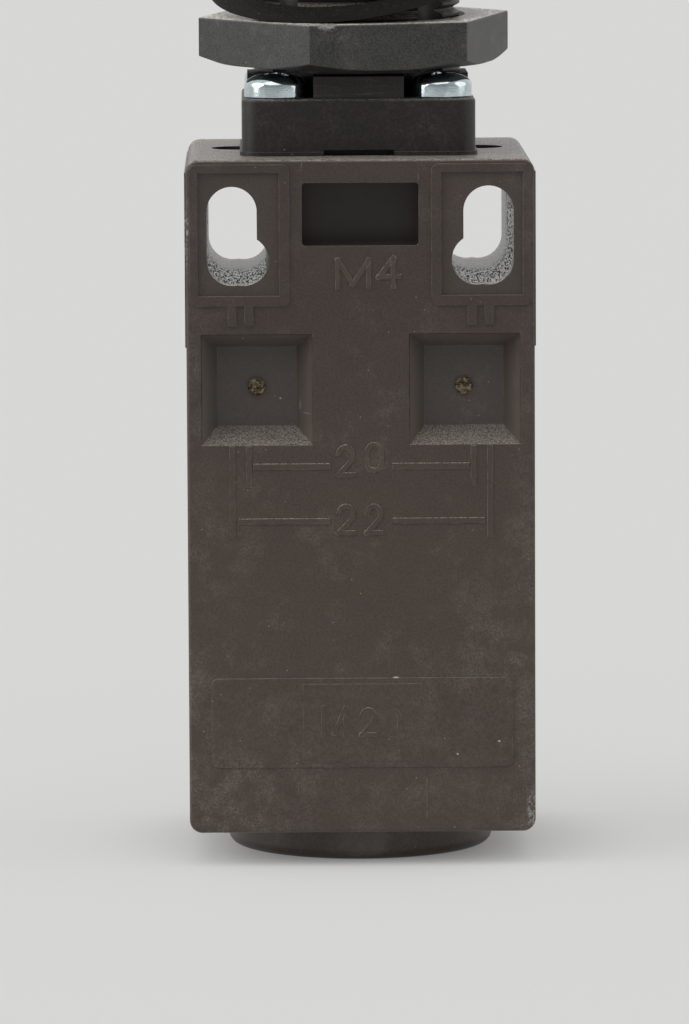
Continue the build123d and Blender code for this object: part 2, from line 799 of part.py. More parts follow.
# The roller and the pin it turns on
with BuildPart() as roller:
    with BuildSketch(Plane.XZ.offset(-roller_width / 2)):
        with Locations((0, roller_axis)):
            Circle(roller_radius)
    extrude(amount=roller_width)
    chamfer(roller.edges().filter_by(GeomType.CIRCLE), roller_edge)
    with BuildSketch(Plane.XZ.offset(-roller_width / 2)):
        with Locations((0, roller_axis)):
            Circle(pin_radius + pin_running_gap)
    extrude(amount=roller_width, mode=Mode.SUBTRACT)
roller.part.label = "roller"
export_step(roller.part, "parts/roller.step")

pin_length = 2 * (plunger_radius - pin_inset)
with BuildPart() as roller_pin:
    with BuildSketch(Plane.XZ.offset(-pin_length / 2)):
        with Locations((0, roller_axis)):
            Circle(pin_radius)
    extrude(amount=pin_length)
roller_pin.part.label = "roller_pin"
export_step(roller_pin.part, "parts/roller_pin.step")


# The springs: each is a wound wire between its two seats
for spring_name, spring_radius, wire, turns, spring_bottom, spring_top in (
    ("return_spring", return_spring_radius, return_spring_wire, return_spring_turns,
     body_top, flange_bottom),
    ("carrier_spring", carrier_spring_radius, carrier_spring_wire, carrier_spring_turns,
     spring_seat, carrier_bottom),
    ("nc_contact_spring", bridge_spring_radius, bridge_spring_wire, nc_spring_turns,
     nc_window_floor, nc_bridge_bottom),
    ("no_contact_spring", bridge_spring_radius, bridge_spring_wire, no_spring_turns,
     no_bridge_top, no_window_ceiling),
):
    wound_height = spring_top - spring_bottom - wire
    with BuildPart() as spring:
        with BuildLine() as coil:
            Helix(
                pitch=wound_height / turns,
                height=wound_height,
                radius=spring_radius,
                center=(0, 0, spring_bottom + wire / 2),
            )
        with BuildSketch(Plane(origin=coil.line @ 0, z_dir=coil.line % 0)):
            RegularPolygon(wire / 2, wire_sides)
        sweep(path=coil.line, is_frenet=True)
    spring.part.label = spring_name
    export_step(spring.part, "parts/" + spring_name + ".step")


# The contact block's base: an open tray with guides for the carrier and a well for its spring
with BuildPart() as contact_block_base:
    with BuildSketch(Plane.XZ.offset(-step_face)):
        with Locations((0, block_bottom)):
            RectangleRounded(2 * block_half, block_height, cavity_corner, align=(Align.CENTER, Align.MIN))
    extrude(amount=-block_depth)
    with BuildSketch(Plane.XZ.offset(-block_room_back)):
        with Locations((0, (block_room_floor + block_room_top) / 2)):
            Rectangle(2 * block_room_half, block_room_top - block_room_floor)
    extrude(amount=-(block_depth - block_back), mode=Mode.SUBTRACT)
    with BuildSketch(Plane.XZ.offset(-block_room_back)):
        guide_x = carrier_half_width + carrier_running_gap + guide_thickness / 2
        with Locations((-guide_x, block_room_floor), (guide_x, block_room_floor)):
            Rectangle(guide_thickness, block_room_top - block_room_floor, align=(Align.CENTER, Align.MIN))
    extrude(amount=-guide_depth)
    with BuildSketch(Plane.XZ.offset(-block_room_back)):
        divider_x = block_room_half - divider_reach / 2
        with Locations((-divider_x, block_screw_z), (divider_x, block_screw_z)):
            Rectangle(divider_reach, divider_height)
    extrude(amount=-(block_depth - block_back))
    with BuildSketch(Plane.XZ.offset(-step_face)):
        with Locations(*block_spots):
            Circle(m3_hole_radius)
    extrude(amount=-block_back, mode=Mode.SUBTRACT)

    # Well for the carrier's spring under the block's floor
    with BuildSketch(Plane.XY.offset(block_room_floor)):
        Circle(spring_well_radius + spring_well_wall)
    extrude(amount=-(spring_well_depth + spring_well_wall))
    with BuildSketch(Plane.XY.offset(block_room_floor)):
        Circle(spring_well_radius)
    extrude(amount=-spring_well_depth, mode=Mode.SUBTRACT)
    with BuildSketch(Plane.XY.offset(block_room_top)):
        Circle(push_pin_radius + push_pin_hole_gap)
    extrude(amount=block_floor, mode=Mode.SUBTRACT)
contact_block_base.part.label = "contact_block_base"
export_step(contact_block_base.part, "parts/contact_block_base.step")


# The contact block's cover keeps the carrier in its guides
with BuildPart() as contact_block_cover:
    with BuildSketch(Plane.XZ.offset(-block_front)):
        with Locations((0, block_bottom)):
            Rectangle(block_cover_width, block_height, align=(Align.CENTER, Align.MIN))
    extrude(amount=-block_cover_thickness)
    fillet(contact_block_cover.faces().sort_by(Axis.Y)[-1].edges(), edge_round)
contact_block_cover.part.label = "contact_block_cover"
export_step(contact_block_cover.part, "parts/contact_block_cover.step")


# Two screws hold the contact block on its posts
with BuildPart() as contact_block_screws:
    with BuildSketch(Plane.XZ.offset(-block_room_back)):
        with Locations(*block_spots):
            Circle(block_screw_head_radius)
    extrude(amount=-block_screw_head_height)
    with BuildSketch(Plane.XZ.offset(-block_room_back)):
        with Locations(*block_spots):
            Circle(m3_shank_radius)
    extrude(amount=block_screw_length)
contact_block_screws.part.label = "contact_block_screws"
export_step(contact_block_screws.part, "parts/contact_block_screws.step")


# The carrier: a slider with a push pin on top and a window for each bridge
with BuildPart() as contact_carrier:
    with BuildSketch(Plane.XY.offset(carrier_bottom)):
        with Locations((0, (carrier_back + carrier_front) / 2)):
            Rectangle(2 * carrier_half_width, carrier_front - carrier_back)
    extrude(amount=carrier_height)
    with BuildSketch(Plane.XY.offset(carrier_top)):
        Circle(push_pin_radius)
    extrude(amount=push_pin_top - carrier_top)
    with BuildSketch(Plane.YZ.offset(-carrier_half_width)):
        with Locations((0, nc_window_floor)):
            Rectangle(bridge_width + 2 * window_gap, nc_window_height, align=(Align.CENTER, Align.MIN))
        with Locations((0, no_window_floor)):
            Rectangle(bridge_width + 2 * window_gap, no_window_height, align=(Align.CENTER, Align.MIN))
    extrude(amount=2 * carrier_half_width, mode=Mode.SUBTRACT)
contact_carrier.part.label = "contact_carrier"
export_step(contact_carrier.part, "parts/contact_carrier.step")


# The two contact bridges, with their contact buttons facing the fixed contacts
for bridge_name, bridge_bottom, button_floor in (
    ("nc_bridge", nc_bridge_bottom, nc_bridge_top),
    ("no_bridge", no_bridge_bottom, no_bridge_bottom - button_height),
):
    with BuildPart() as bridge:
        with BuildSketch(Plane.XY.offset(bridge_bottom)):
            RectangleRounded(2 * bridge_half_length, bridge_width, edge_round)
        extrude(amount=bridge_thickness)
        with BuildSketch(Plane.XY.offset(button_floor)):
            with Locations((-button_x, 0), (button_x, 0)):
                Circle(button_radius)
        extrude(amount=button_height)
    bridge.part.label = bridge_name
    export_step(bridge.part, "parts/" + bridge_name + ".step")


# The four fixed terminals: a tab with a contact button, bent over into a plate for the wire clamp
nc_plate_bottom = nc_tab_bottom - terminal_plate_height
for terminal_name, side, tab_bottom, plate_bottom, button_floor in (
    ("nc_terminal_left", -1, nc_tab_bottom, nc_plate_bottom, nc_tab_bottom - button_height),
    ("nc_terminal_right", 1, nc_tab_bottom, nc_plate_bottom, nc_tab_bottom - button_height),
    ("no_terminal_left", -1, no_plate_bottom, no_tab_top, no_tab_top),
    ("no_terminal_right", 1, no_plate_bottom, no_tab_top, no_tab_top),
):
    with BuildPart() as terminal:
        with BuildSketch(Plane.XY.offset(tab_bottom)):
            with Locations((side * (terminal_inner_x + block_room_half) / 2, -bridge_width / 2)):
                Rectangle(
                    block_room_half - terminal_inner_x,
                    terminal_front + bridge_width / 2,
                    align=(Align.CENTER, Align.MIN),
                )
        extrude(amount=terminal_thickness)
        with BuildSketch(Plane.XY.offset(plate_bottom)):
            with Locations((side * terminal_centre_x, terminal_front)):
                Rectangle(terminal_plate_width, terminal_thickness, align=(Align.CENTER, Align.MAX))
        extrude(amount=terminal_plate_height)
        with BuildSketch(Plane.XY.offset(button_floor)):
            with Locations((side * button_x, 0)):
                Circle(button_radius)
        extrude(amount=button_height)
        with BuildSketch(Plane.XZ.offset(-terminal_front)):
            with Locations((side * terminal_centre_x, plate_bottom + terminal_plate_height / 2)):
                Circle(terminal_screw_radius + pin_fit)
        extrude(amount=terminal_thickness, mode=Mode.SUBTRACT)
    terminal.part.label = terminal_name
    export_step(terminal.part, "parts/" + terminal_name + ".step")


# The wire clamps and their screws, one for each terminal
terminal_spots = [
    (side * terminal_centre_x, plate_bottom + terminal_plate_height / 2)
    for side in (-1, 1)
    for plate_bottom in (nc_plate_bottom, no_tab_top)
]
with BuildPart() as wire_clamps:
    with BuildSketch(Plane.XZ.offset(-terminal_front)):
        with Locations(*terminal_spots):
            RectangleRounded(clamp_size, clamp_size, edge_round)
            Circle(terminal_screw_radius + clamp_hole_gap, mode=Mode.SUBTRACT)
    extrude(amount=-clamp_thickness)
wire_clamps.part.label = "wire_clamps"
export_step(wire_clamps.part, "parts/wire_clamps.step")

with BuildPart() as terminal_screws:
    with BuildSketch(Plane.XZ.offset(-(terminal_front + clamp_thickness))):
        with Locations(*terminal_spots):
            Circle(terminal_screw_head_radius)
    extrude(amount=-terminal_screw_head_height)
    with BuildSketch(Plane.XZ.offset(-(terminal_front + clamp_thickness))):
        with Locations(*terminal_spots):
            Circle(terminal_screw_radius)
    extrude(amount=terminal_screw_length)
terminal_screws.part.label = "terminal_screws"
export_step(terminal_screws.part, "parts/terminal_screws.step")
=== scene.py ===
import bpy
import bmesh
import math
from mathutils import Matrix, Vector, noise


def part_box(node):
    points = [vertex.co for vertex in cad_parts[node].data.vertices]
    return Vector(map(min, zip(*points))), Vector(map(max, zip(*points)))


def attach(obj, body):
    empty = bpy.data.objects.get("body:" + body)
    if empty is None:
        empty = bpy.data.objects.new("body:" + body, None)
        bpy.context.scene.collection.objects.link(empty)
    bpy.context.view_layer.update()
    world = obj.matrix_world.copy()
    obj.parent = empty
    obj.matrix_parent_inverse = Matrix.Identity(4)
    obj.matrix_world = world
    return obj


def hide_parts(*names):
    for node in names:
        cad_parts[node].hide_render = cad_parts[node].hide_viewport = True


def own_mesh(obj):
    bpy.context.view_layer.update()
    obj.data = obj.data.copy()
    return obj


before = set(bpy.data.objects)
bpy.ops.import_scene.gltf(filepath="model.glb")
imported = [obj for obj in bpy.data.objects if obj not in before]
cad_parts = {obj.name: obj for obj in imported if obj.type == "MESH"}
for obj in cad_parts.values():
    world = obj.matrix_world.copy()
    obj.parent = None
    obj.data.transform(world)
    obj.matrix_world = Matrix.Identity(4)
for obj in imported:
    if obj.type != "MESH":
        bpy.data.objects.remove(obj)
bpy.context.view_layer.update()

# The studio: the photograph's camera, a pale floor that runs on past the view and gives off
# part of its brightness itself, to look as even as the photo's, a room that is darker behind
# the camera, and soft light from above, from the left and from the right.
CAMERA_PLACE = (-0.00916, -0.6200, 0.0997)
CAMERA_YAW = math.radians(0.729)
CAMERA_PITCH = math.radians(6.49)
CAMERA_ROLL = math.radians(-0.284)
LENS_IN_IMAGE_HEIGHTS = 6.916
FLOOR_HALF = 6.0
FLOOR_COLOUR = (0.700, 0.698, 0.686)
FLOOR_GLOW = 0.62
GLOW_NEAR = 0.006
GLOW_FAR = 0.027
GLOW_LEAST = 0.12
BACKGROUND_COLOUR = (0.700, 0.697, 0.685)
ROOM_COLOUR = (0.97, 0.985, 1.0)
ROOM_BRIGHT = 0.52
ROOM_DARK = 0.34


def add(tree, kind, sockets=None, **settings):
    """A shader node; each socket takes a plain value or another node's output."""
    node = tree.nodes.new("ShaderNode" + kind)
    for setting, value in settings.items():
        setattr(node, setting, value)
    for socket, value in (sockets or {}).items():
        if isinstance(value, bpy.types.NodeSocket):
            tree.links.new(value, node.inputs[socket])
        else:
            node.inputs[socket].default_value = value
    return node


def reckon(tree, operation, *values, clamp=False):
    """The output of one sum on plain numbers or other outputs."""
    return add(tree, "Math", dict(enumerate(values)), operation=operation, use_clamp=clamp).outputs[0]


def times(tree, *values):
    """The product of several numbers or outputs."""
    product = values[0]
    for value in values[1:]:
        product = reckon(tree, "MULTIPLY", product, value)
    return product


def between(tree, value, low, high, start=0.0, end=1.0):
    """Runs softly from start to end while a value goes from low to high."""
    sockets = {"Value": value, "From Min": low, "From Max": high, "To Min": start, "To Max": end}
    return add(tree, "MapRange", sockets, interpolation_type="SMOOTHSTEP").outputs[0]


def here(tree):
    """The place on a piece."""
    return add(tree, "TexCoord").outputs["Object"]


def length(tree, vector):
    """How long a vector is."""
    return add(tree, "VectorMath", {0: vector}, operation="LENGTH").outputs["Value"]


camera_data = bpy.data.cameras.new("photo_camera")
camera_data.sensor_width = 36.0
camera_data.lens = LENS_IN_IMAGE_HEIGHTS * camera_data.sensor_width
camera = bpy.data.objects.new("photo_camera", camera_data)
bpy.context.scene.collection.objects.link(camera)
turn = Matrix.Rotation(-CAMERA_YAW, 4, "Z") @ Matrix.Rotation(math.pi / 2 - CAMERA_PITCH, 4, "X")
camera.matrix_world = Matrix.Translation(CAMERA_PLACE) @ turn @ Matrix.Rotation(CAMERA_ROLL, 4, "Z")
bpy.context.scene.camera = camera
bpy.context.scene.view_settings.view_transform = "Standard"

floor_mesh = bpy.data.meshes.new("floor")
floor_corners = [(x * FLOOR_HALF, y * FLOOR_HALF, 0) for x, y in ((-1, -1), (1, -1), (1, 1), (-1, 1))]
floor_mesh.from_pydata(floor_corners, [], [(0, 1, 2, 3)])
floor = bpy.data.objects.new("floor", floor_mesh)
bpy.context.scene.collection.objects.link(floor)
floor_material = bpy.data.materials.new("pale_floor")
floor_material.use_nodes = True
floor_tree = floor_material.node_tree
floor_shader = floor_tree.nodes["Principled BSDF"]
floor_shader.inputs["Base Color"].default_value = (*FLOOR_COLOUR, 1)
floor_shader.inputs["Roughness"].default_value = 0.9
floor_shader.inputs["Specular IOR Level"].default_value = 0.0
floor_rays = add(floor_tree, "LightPath").outputs
floor_glow = add(floor_tree, "Emission", {"Color": (*BACKGROUND_COLOUR, 1), "Strength": 1.0})
floor_seen = reckon(floor_tree, "MAXIMUM", floor_rays["Is Camera Ray"], floor_rays["Is Glossy Ray"])
floor_seen = reckon(floor_tree, "MAXIMUM", floor_seen, floor_rays["Is Transmission Ray"])
# it glows less under the switch, where its shadow lies
floor_far = length(floor_tree, here(floor_tree))
floor_open = between(floor_tree, floor_far, GLOW_NEAR, GLOW_FAR, GLOW_LEAST, FLOOR_GLOW)
floor_mix = add(floor_tree, "MixShader", {
    0: times(floor_tree, floor_seen, floor_open), 1: floor_shader.outputs[0], 2: floor_glow.outputs[0],
})
floor_tree.links.new(floor_mix.outputs[0], floor_tree.nodes["Material Output"].inputs["Surface"])
floor_mesh.materials.append(floor_material)

world = bpy.data.worlds.new("studio")
world.use_nodes = True
bpy.context.scene.world = world
room_tree = world.node_tree
room = room_tree.nodes["Background"]
room.inputs["Color"].default_value = (*ROOM_COLOUR, 1)
heading = add(room_tree, "SeparateXYZ", {0: add(room_tree, "TexCoord").outputs["Generated"]}).outputs["Y"]
room_level = add(room_tree, "MapRange", {
    "Value": heading, "From Min": -0.9, "From Max": 0.0, "To Min": ROOM_DARK, "To Max": ROOM_BRIGHT,
})
room_tree.links.new(room_level.outputs[0], room.inputs["Strength"])
backdrop = add(room_tree, "Background", {"Color": (*BACKGROUND_COLOUR, 1), "Strength": 1.0})
# the camera sees the backdrop, and so do reflections that look away from the camera
rays = add(room_tree, "LightPath").outputs
behind = add(room_tree, "MapRange", {"Value": heading, "From Min": -0.3, "From Max": 0.2}).outputs[0]
seen = reckon(room_tree, "MAXIMUM", rays["Is Camera Ray"], times(room_tree, rays["Is Glossy Ray"], behind))
seen = reckon(room_tree, "MAXIMUM", seen, rays["Is Transmission Ray"])
pick = add(room_tree, "MixShader", {0: seen, 1: room.outputs[0], 2: backdrop.outputs[0]})
room_tree.links.new(pick.outputs[0], room_tree.nodes["World Output"].inputs["Surface"])

# name, strength, spread in degrees, direction it comes from, colour
for lamp_name, strength, spread, source, colour in (
    ("top_softbox", 0.85, 60, (-0.15, -0.7, 1.0), (1.0, 0.99, 0.97)),
    ("left_softbox", 1.5, 50, (-1.0, -0.25, 0.45), (0.97, 0.985, 1.0)),
    ("right_softbox", 0.55, 50, (1.0, -0.12, 0.4), (1.0, 0.99, 0.97)),
):
    lamp_data = bpy.data.lights.new(lamp_name, "SUN")
    lamp_data.energy = strength
    lamp_data.angle = math.radians(spread)
    lamp_data.color = colour
    lamp = bpy.data.objects.new(lamp_name, lamp_data)
    lamp.rotation_mode = "QUATERNION"
    lamp.rotation_quaternion = Vector(source).to_track_quat("Z", "Y")
    bpy.context.scene.collection.objects.link(lamp)

# Housing: the switch's body shell, open on its cover side. Glass filled nylon, moulded
# in one shot in a dark brown grey, with an M20 x 1.5 thread formed up its lower bore.
mm = 0.001
HOUSING_COLOUR = (0.0550, 0.0386, 0.0298, 1)
# edge colour: wear, and painted highlight along the housing's edges
HOUSING_WEAR_AND_HIGHLIGHT = (0.170, 0.148, 0.132, 1)
# the dust's colour, also used as painted light on the recesses' sides and floors
DUST_AND_PAINTED_LIGHT_COLOUR = (0.420, 0.392, 0.352, 1)
FLECK_COLOUR = (0.270, 0.245, 0.215, 1)
# pale specks: dust, and painted sheen on the slots and the top face
SPECK_DUST_AND_SHEEN = (0.62, 0.595, 0.55, 1)
SPECK_TINT = (0.50, 0.50, 0.50, 1)
NICK_COLOUR = (0.50, 0.48, 0.45, 1)
# painted shade inside the nut pocket
POCKET_PAINTED_SHADE = (0.24, 0.19, 0.17, 1)
UPPER_TINT = (0.63, 0.58, 0.60, 1)
# the zones that the tones below keep to, in millimetres
FACE_HALF_WIDTH = 14.5
POCKET_LEVEL = 56.5
POCKET_HALF_HEIGHT = 2.7
POCKET_HALF_WIDTH = 5.0
SLOT_X = 11.0
SLOT_LEVEL = 54.6
SLOT_HALF_WIDTH = 2.9
SLOT_HALF_HEIGHT = 4.8
ENTRY_PITCH = 1.5 * mm
ENTRY_RADIUS = 9.2 * mm
ENTRY_THREAD_DEPTH = 0.75 * mm
ENTRY_THREAD_TOP = 9.4 * mm
THREAD_STEPS = 48


def apart(tree, value, middle=0.0):
    """How far a value is from the middle, either way."""
    if middle:
        value = reckon(tree, "SUBTRACT", value, middle)
    return reckon(tree, "ABSOLUTE", value)


def within(tree, value, middle, half, soft):
    """1 up to half away from the middle, then down to 0 over a soft edge."""
    return between(tree, apart(tree, value, middle), half + soft, half)


def facing(tree):
    """Which way a surface faces, as X, Y and Z."""
    return add(tree, "SeparateXYZ", {0: add(tree, "NewGeometry").outputs["Normal"]}).outputs


def stretched(tree, place, scale):
    """A place multiplied by a scale along each axis."""
    return add(tree, "VectorMath", {0: place, 1: scale}, operation="MULTIPLY").outputs[0]


def mixed(tree, share, under, over, how="MIX"):
    """One colour over another by a share; how is a blend type."""
    node = add(tree, "Mix", {0: share, 6: under, 7: over}, data_type="RGBA", blend_type=how)
    return node.outputs[2]


def patches(tree, place, size, detail=2.0, roughness=0.6):
    """Soft cloudy noise, with patches of about the given size."""
    scale = reckon(tree, "DIVIDE", 1.0, size) if isinstance(size, bpy.types.NodeSocket) else 1 / size
    sockets = {"Vector": place, "Scale": scale, "Detail": detail, "Roughness": roughness}
    return add(tree, "TexNoise", sockets).outputs["Fac"]


def effect(name, takes, gives):
    """An empty group for an effect that several materials use, with its sockets."""
    tree = bpy.data.node_groups.new(name, "ShaderNodeTree")
    for label, kind, value in takes:
        socket = tree.interface.new_socket(label, in_out="INPUT", socket_type="NodeSocket" + kind)
        socket.default_value = value
    for label, kind in gives:
        tree.interface.new_socket(label, in_out="OUTPUT", socket_type="NodeSocket" + kind)
    return tree, tree.nodes.new("NodeGroupInput"), tree.nodes.new("NodeGroupOutput")


# The fine skin of moulded plastic: Height for a bump, Tone to multiply a colour with
mould_grain, grain_in, grain_out = effect(
    "mould_grain",
    [("Grain", "Float", 0.0002), ("Unevenness", "Float", 0.2)],
    [("Height", "Float"), ("Tone", "Float")],
)
grain_place = here(mould_grain)
grain_fine = patches(mould_grain, grain_place, grain_in.outputs["Grain"], 3.0, 0.5)
grain_blotch = patches(mould_grain, grain_place, 1.6 * mm)
grain_drift = patches(mould_grain, grain_place, 9 * mm, 1.0)
grain_sharp = between(mould_grain, grain_fine, 0.38, 0.62)
grain_sum = reckon(mould_grain, "MULTIPLY_ADD", grain_sharp, 0.9, times(mould_grain, grain_blotch, 0.6))
grain_sum = reckon(mould_grain, "MULTIPLY_ADD", grain_drift, 0.7, grain_sum)
grain_swing = reckon(mould_grain, "SUBTRACT", grain_sum, 1.1)
grain_tone = reckon(mould_grain, "MULTIPLY_ADD", grain_swing, grain_in.outputs["Unevenness"], 1.0)
mould_grain.links.new(grain_fine, grain_out.inputs["Height"])
mould_grain.links.new(grain_tone, grain_out.inputs["Tone"])

# Dust: Film lies on what faces up and in patches, Fleck is single pale specks
settled_dust, dust_in, dust_out = effect(
    "settled_dust",
    [("Film", "Float", 0.3), ("Flecks", "Float", 0.6)],
    [("Film", "Float"), ("Fleck", "Float")],
)
dust_place = here(settled_dust)
dust_up = between(settled_dust, facing(settled_dust)["Z"], 0.35, 0.85)
dust_patch = between(settled_dust, patches(settled_dust, dust_place, 3.2 * mm, 4.0, 0.7), 0.50, 0.72)
dust_grit = between(settled_dust, patches(settled_dust, dust_place, 0.13 * mm, 2.0), 0.40, 0.60)
dust_lying = reckon(settled_dust, "MULTIPLY_ADD", dust_up, 1.5, times(settled_dust, dust_patch, 0.16))
dust_film = times(settled_dust, dust_lying, dust_grit, dust_in.outputs["Film"])
dust_cells = add(settled_dust, "TexVoronoi",
                 {"Vector": dust_place, "Scale": 1 / (0.8 * mm), "Randomness": 1.0})
dust_speck = between(settled_dust, dust_cells.outputs["Distance"], 0.03, 0.085, 1.0, 0.0)
dust_chosen = add(settled_dust, "SeparateColor", {0: dust_cells.outputs["Color"]}).outputs[0]
dust_limit = reckon(settled_dust, "SUBTRACT", 1.0, dust_in.outputs["Flecks"])
dust_picked = reckon(settled_dust, "GREATER_THAN", dust_chosen, dust_limit)
settled_dust.links.new(reckon(settled_dust, "MINIMUM", dust_film, 1.0), dust_out.inputs["Film"])
settled_dust.links.new(times(settled_dust, dust_speck, dust_picked), dust_out.inputs["Fleck"])

# Edges: Normal rounds every sharp edge over the given width, and the other output is where it does so, for
# edge wear and painted highlight
edge_wear_and_highlight, wear_in, wear_out = effect(
    "edge_wear_and_highlight",
    [("Width", "Float", 0.00015)],
    [("Normal", "Vector"), ("Wear and Highlight", "Float")],
)
wear_round = add(edge_wear_and_highlight, "Bevel", {"Radius": wear_in.outputs["Width"]}, samples=6).outputs[0]
wear_flat = add(edge_wear_and_highlight, "NewGeometry").outputs["Normal"]
wear_turn = add(edge_wear_and_highlight, "VectorMath", {0: wear_round, 1: wear_flat}, operation="DOT_PRODUCT")
wear_broken = between(edge_wear_and_highlight, patches(edge_wear_and_highlight, here(edge_wear_and_highlight), 0.9 * mm, 3.0), 0.38, 0.62)
wear_and_highlight_mask = times(edge_wear_and_highlight, between(edge_wear_and_highlight, wear_turn.outputs["Value"], 0.999, 0.93), wear_broken)
edge_wear_and_highlight.links.new(wear_round, wear_out.inputs["Normal"])
edge_wear_and_highlight.links.new(wear_and_highlight_mask, wear_out.inputs["Wear and Highlight"])


def new_finish(name):
    """A material, its node tree and its shader."""
    material = bpy.data.materials.new(name)
    material.use_nodes = True
    return material, material.node_tree, material.node_tree.nodes["Principled BSDF"]


def lay_over(tree, share, colour, how="MIX"):
    """Lays a colour over the colour that a material has so far."""
    base = tree.nodes["Principled BSDF"].inputs["Base Color"]
    tree.links.new(mixed(tree, share, base.links[0].from_socket, colour, how), base)


def roughen(tree, share, amount):
    """Adds an amount, by a share, to the roughness that a material has so far."""
    rough = tree.nodes["Principled BSDF"].inputs["Roughness"]
    tree.links.new(reckon(tree, "MULTIPLY_ADD", share, amount, rough.links[0].from_socket, clamp=True), rough)


def moulded_plastic(name, colour, wear_and_highlight_colour, film, flecks, dull=0.4, grain=0.2 * mm, relief=0.006 * mm,
                    uneven=0.22, edge=0.05 * mm, shine=0.5):
    """Plastic with a moulded skin, lighter along its edges from wear and painted highlight, and with dust on
    it.
    """
    material, tree, shader = new_finish(name)
    skin = add(tree, "Group", {"Grain": grain, "Unevenness": uneven}, node_tree=mould_grain).outputs
    dust = add(tree, "Group", {"Film": film, "Flecks": flecks}, node_tree=settled_dust).outputs
    edges = add(tree, "Group", {"Width": edge}, node_tree=edge_wear_and_highlight).outputs
    tree.links.new(mixed(tree, 1.0, colour, skin["Tone"], "MULTIPLY"), shader.inputs["Base Color"])
    # edges lightened: wear, and painted highlight on the housing and its marks
    lay_over(tree, times(tree, edges["Wear and Highlight"], 0.6), wear_and_highlight_colour)
    kept = reckon(tree, "MULTIPLY_ADD", edges["Wear and Highlight"], -0.8, 1.0)
    lay_over(tree, times(tree, dust["Film"], kept), DUST_AND_PAINTED_LIGHT_COLOUR)
    lay_over(tree, dust["Fleck"], FLECK_COLOUR)
    rough = reckon(tree, "MULTIPLY_ADD", skin["Height"], 0.16, dull - 0.08)
    tree.links.new(rough, shader.inputs["Roughness"])
    bump = add(tree, "Bump", {"Height": skin["Height"], "Distance": relief, "Normal": edges["Normal"]})
    tree.links.new(bump.outputs[0], shader.inputs["Normal"])
    shader.inputs["Specular IOR Level"].default_value = shine
    return material


def near(tree, place, centre, reach):
    """A soft spot, in millimetres: 1 at its centre and 0 at its reach, in three directions."""
    centre, reach = [v * mm for v in centre], [v * mm for v in reach]
    offset = add(tree, "VectorMath", {0: place, 1: centre}, operation="SUBTRACT").outputs[0]
    share = add(tree, "VectorMath", {0: offset, 1: reach}, operation="DIVIDE").outputs[0]
    return between(tree, length(tree, share), 1.0, 0.25)


def crease(solid, degrees=32):
    """Shades a solid smooth, but for the edges that turn by more than this."""
    for face in solid.faces:
        face.smooth = True
    for line in solid.edges:
        line.smooth = len(line.link_faces) == 2 and line.calc_face_angle(0) < math.radians(degrees)


def piece(name, solid, body, slot, finish, *nodes, degrees=32):
    """Makes a piece of a solid, rides it on its body and lets it stand for CAD nodes."""
    crease(solid, degrees)
    mesh = bpy.data.meshes.new(name)
    solid.to_mesh(mesh)
    solid.free()
    mesh.materials.append(finish)
    made = bpy.data.objects.new(name, mesh)
    bpy.context.scene.collection.objects.link(made)
    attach(made, body)
    if nodes:
        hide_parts(*nodes)
    return made


def cad_solid(node):
    """A CAD node's shape as a solid to work on, with its seams joined."""
    solid = bmesh.new()
    solid.from_mesh(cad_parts[node].data)
    bmesh.ops.remove_doubles(solid, verts=solid.verts, dist=2e-7)
    return solid


def cut_away(solid, cutter):
    """The solid with the cutter's shape taken out of it."""
    blanks = []
    for shape in (solid, cutter):
        mesh = bpy.data.meshes.new("blank")
        shape.to_mesh(mesh)
        shape.free()
        blanks.append(bpy.data.objects.new("blank", mesh))
        bpy.context.scene.collection.objects.link(blanks[-1])
    cutting = blanks[0].modifiers.new("cut", "BOOLEAN")
    cutting.operation = "DIFFERENCE"
    cutting.solver = "EXACT"
    cutting.object = blanks[1]
    left = bmesh.new()
    left.from_mesh(blanks[0].evaluated_get(bpy.context.evaluated_depsgraph_get()).to_mesh())
    for blank in blanks:
        bpy.data.meshes.remove(blank.data)
    return left


def swept(rings, capped=True):
    """A solid through closed rows of points of the same length."""
    solid = bmesh.new()
    rows = [[solid.verts.new(point) for point in ring] for ring in rings]
    count = len(rows[0])
    for row, after in zip(rows, rows[1:]):
        for i in range(count):
            j = (i + 1) % count
            solid.faces.new((row[i], row[j], after[j], after[i]))
    if capped:
        solid.faces.new(rows[0][::-1])
        solid.faces.new(rows[-1])
    bmesh.ops.recalc_face_normals(solid, faces=solid.faces)
    return solid


def thread_cutter(pitch, bottom, top, profile, run_out=0.0):
    """A V that winds up a bore or a collar; profile lists its radii and heights."""
    rings = []
    count = int((top - bottom) / pitch * THREAD_STEPS)
    for i in range(count + 1):
        angle = 2 * math.pi * i / THREAD_STEPS
        shift = run_out * max(0.0, 1 - 1.6 * i / THREAD_STEPS)
        level = bottom + (top - bottom) * i / count
        rings.append([
            ((r + shift) * math.cos(angle), (r + shift) * math.sin(angle), level + h) for r, h in profile
        ])
    return swept(rings)


entry_profile = [
    (ENTRY_RADIUS - 0.2 * mm, -0.62 * mm),
    (ENTRY_RADIUS + ENTRY_THREAD_DEPTH, -0.10 * mm),
    (ENTRY_RADIUS + ENTRY_THREAD_DEPTH, 0.10 * mm),
    (ENTRY_RADIUS - 0.2 * mm, 0.62 * mm),
]
entry_thread = thread_cutter(ENTRY_PITCH, -1.3 * mm, ENTRY_THREAD_TOP, entry_profile)
housing_plastic = moulded_plastic("housing_plastic", HOUSING_COLOUR, HOUSING_WEAR_AND_HIGHLIGHT, 0.55, 0.25,
                                  edge=0.09 * mm, uneven=0.30)
shell = housing_plastic.node_tree
shell_place = here(shell)
shell_at = add(shell, "SeparateXYZ", {0: shell_place}).outputs
shell_faces = facing(shell)
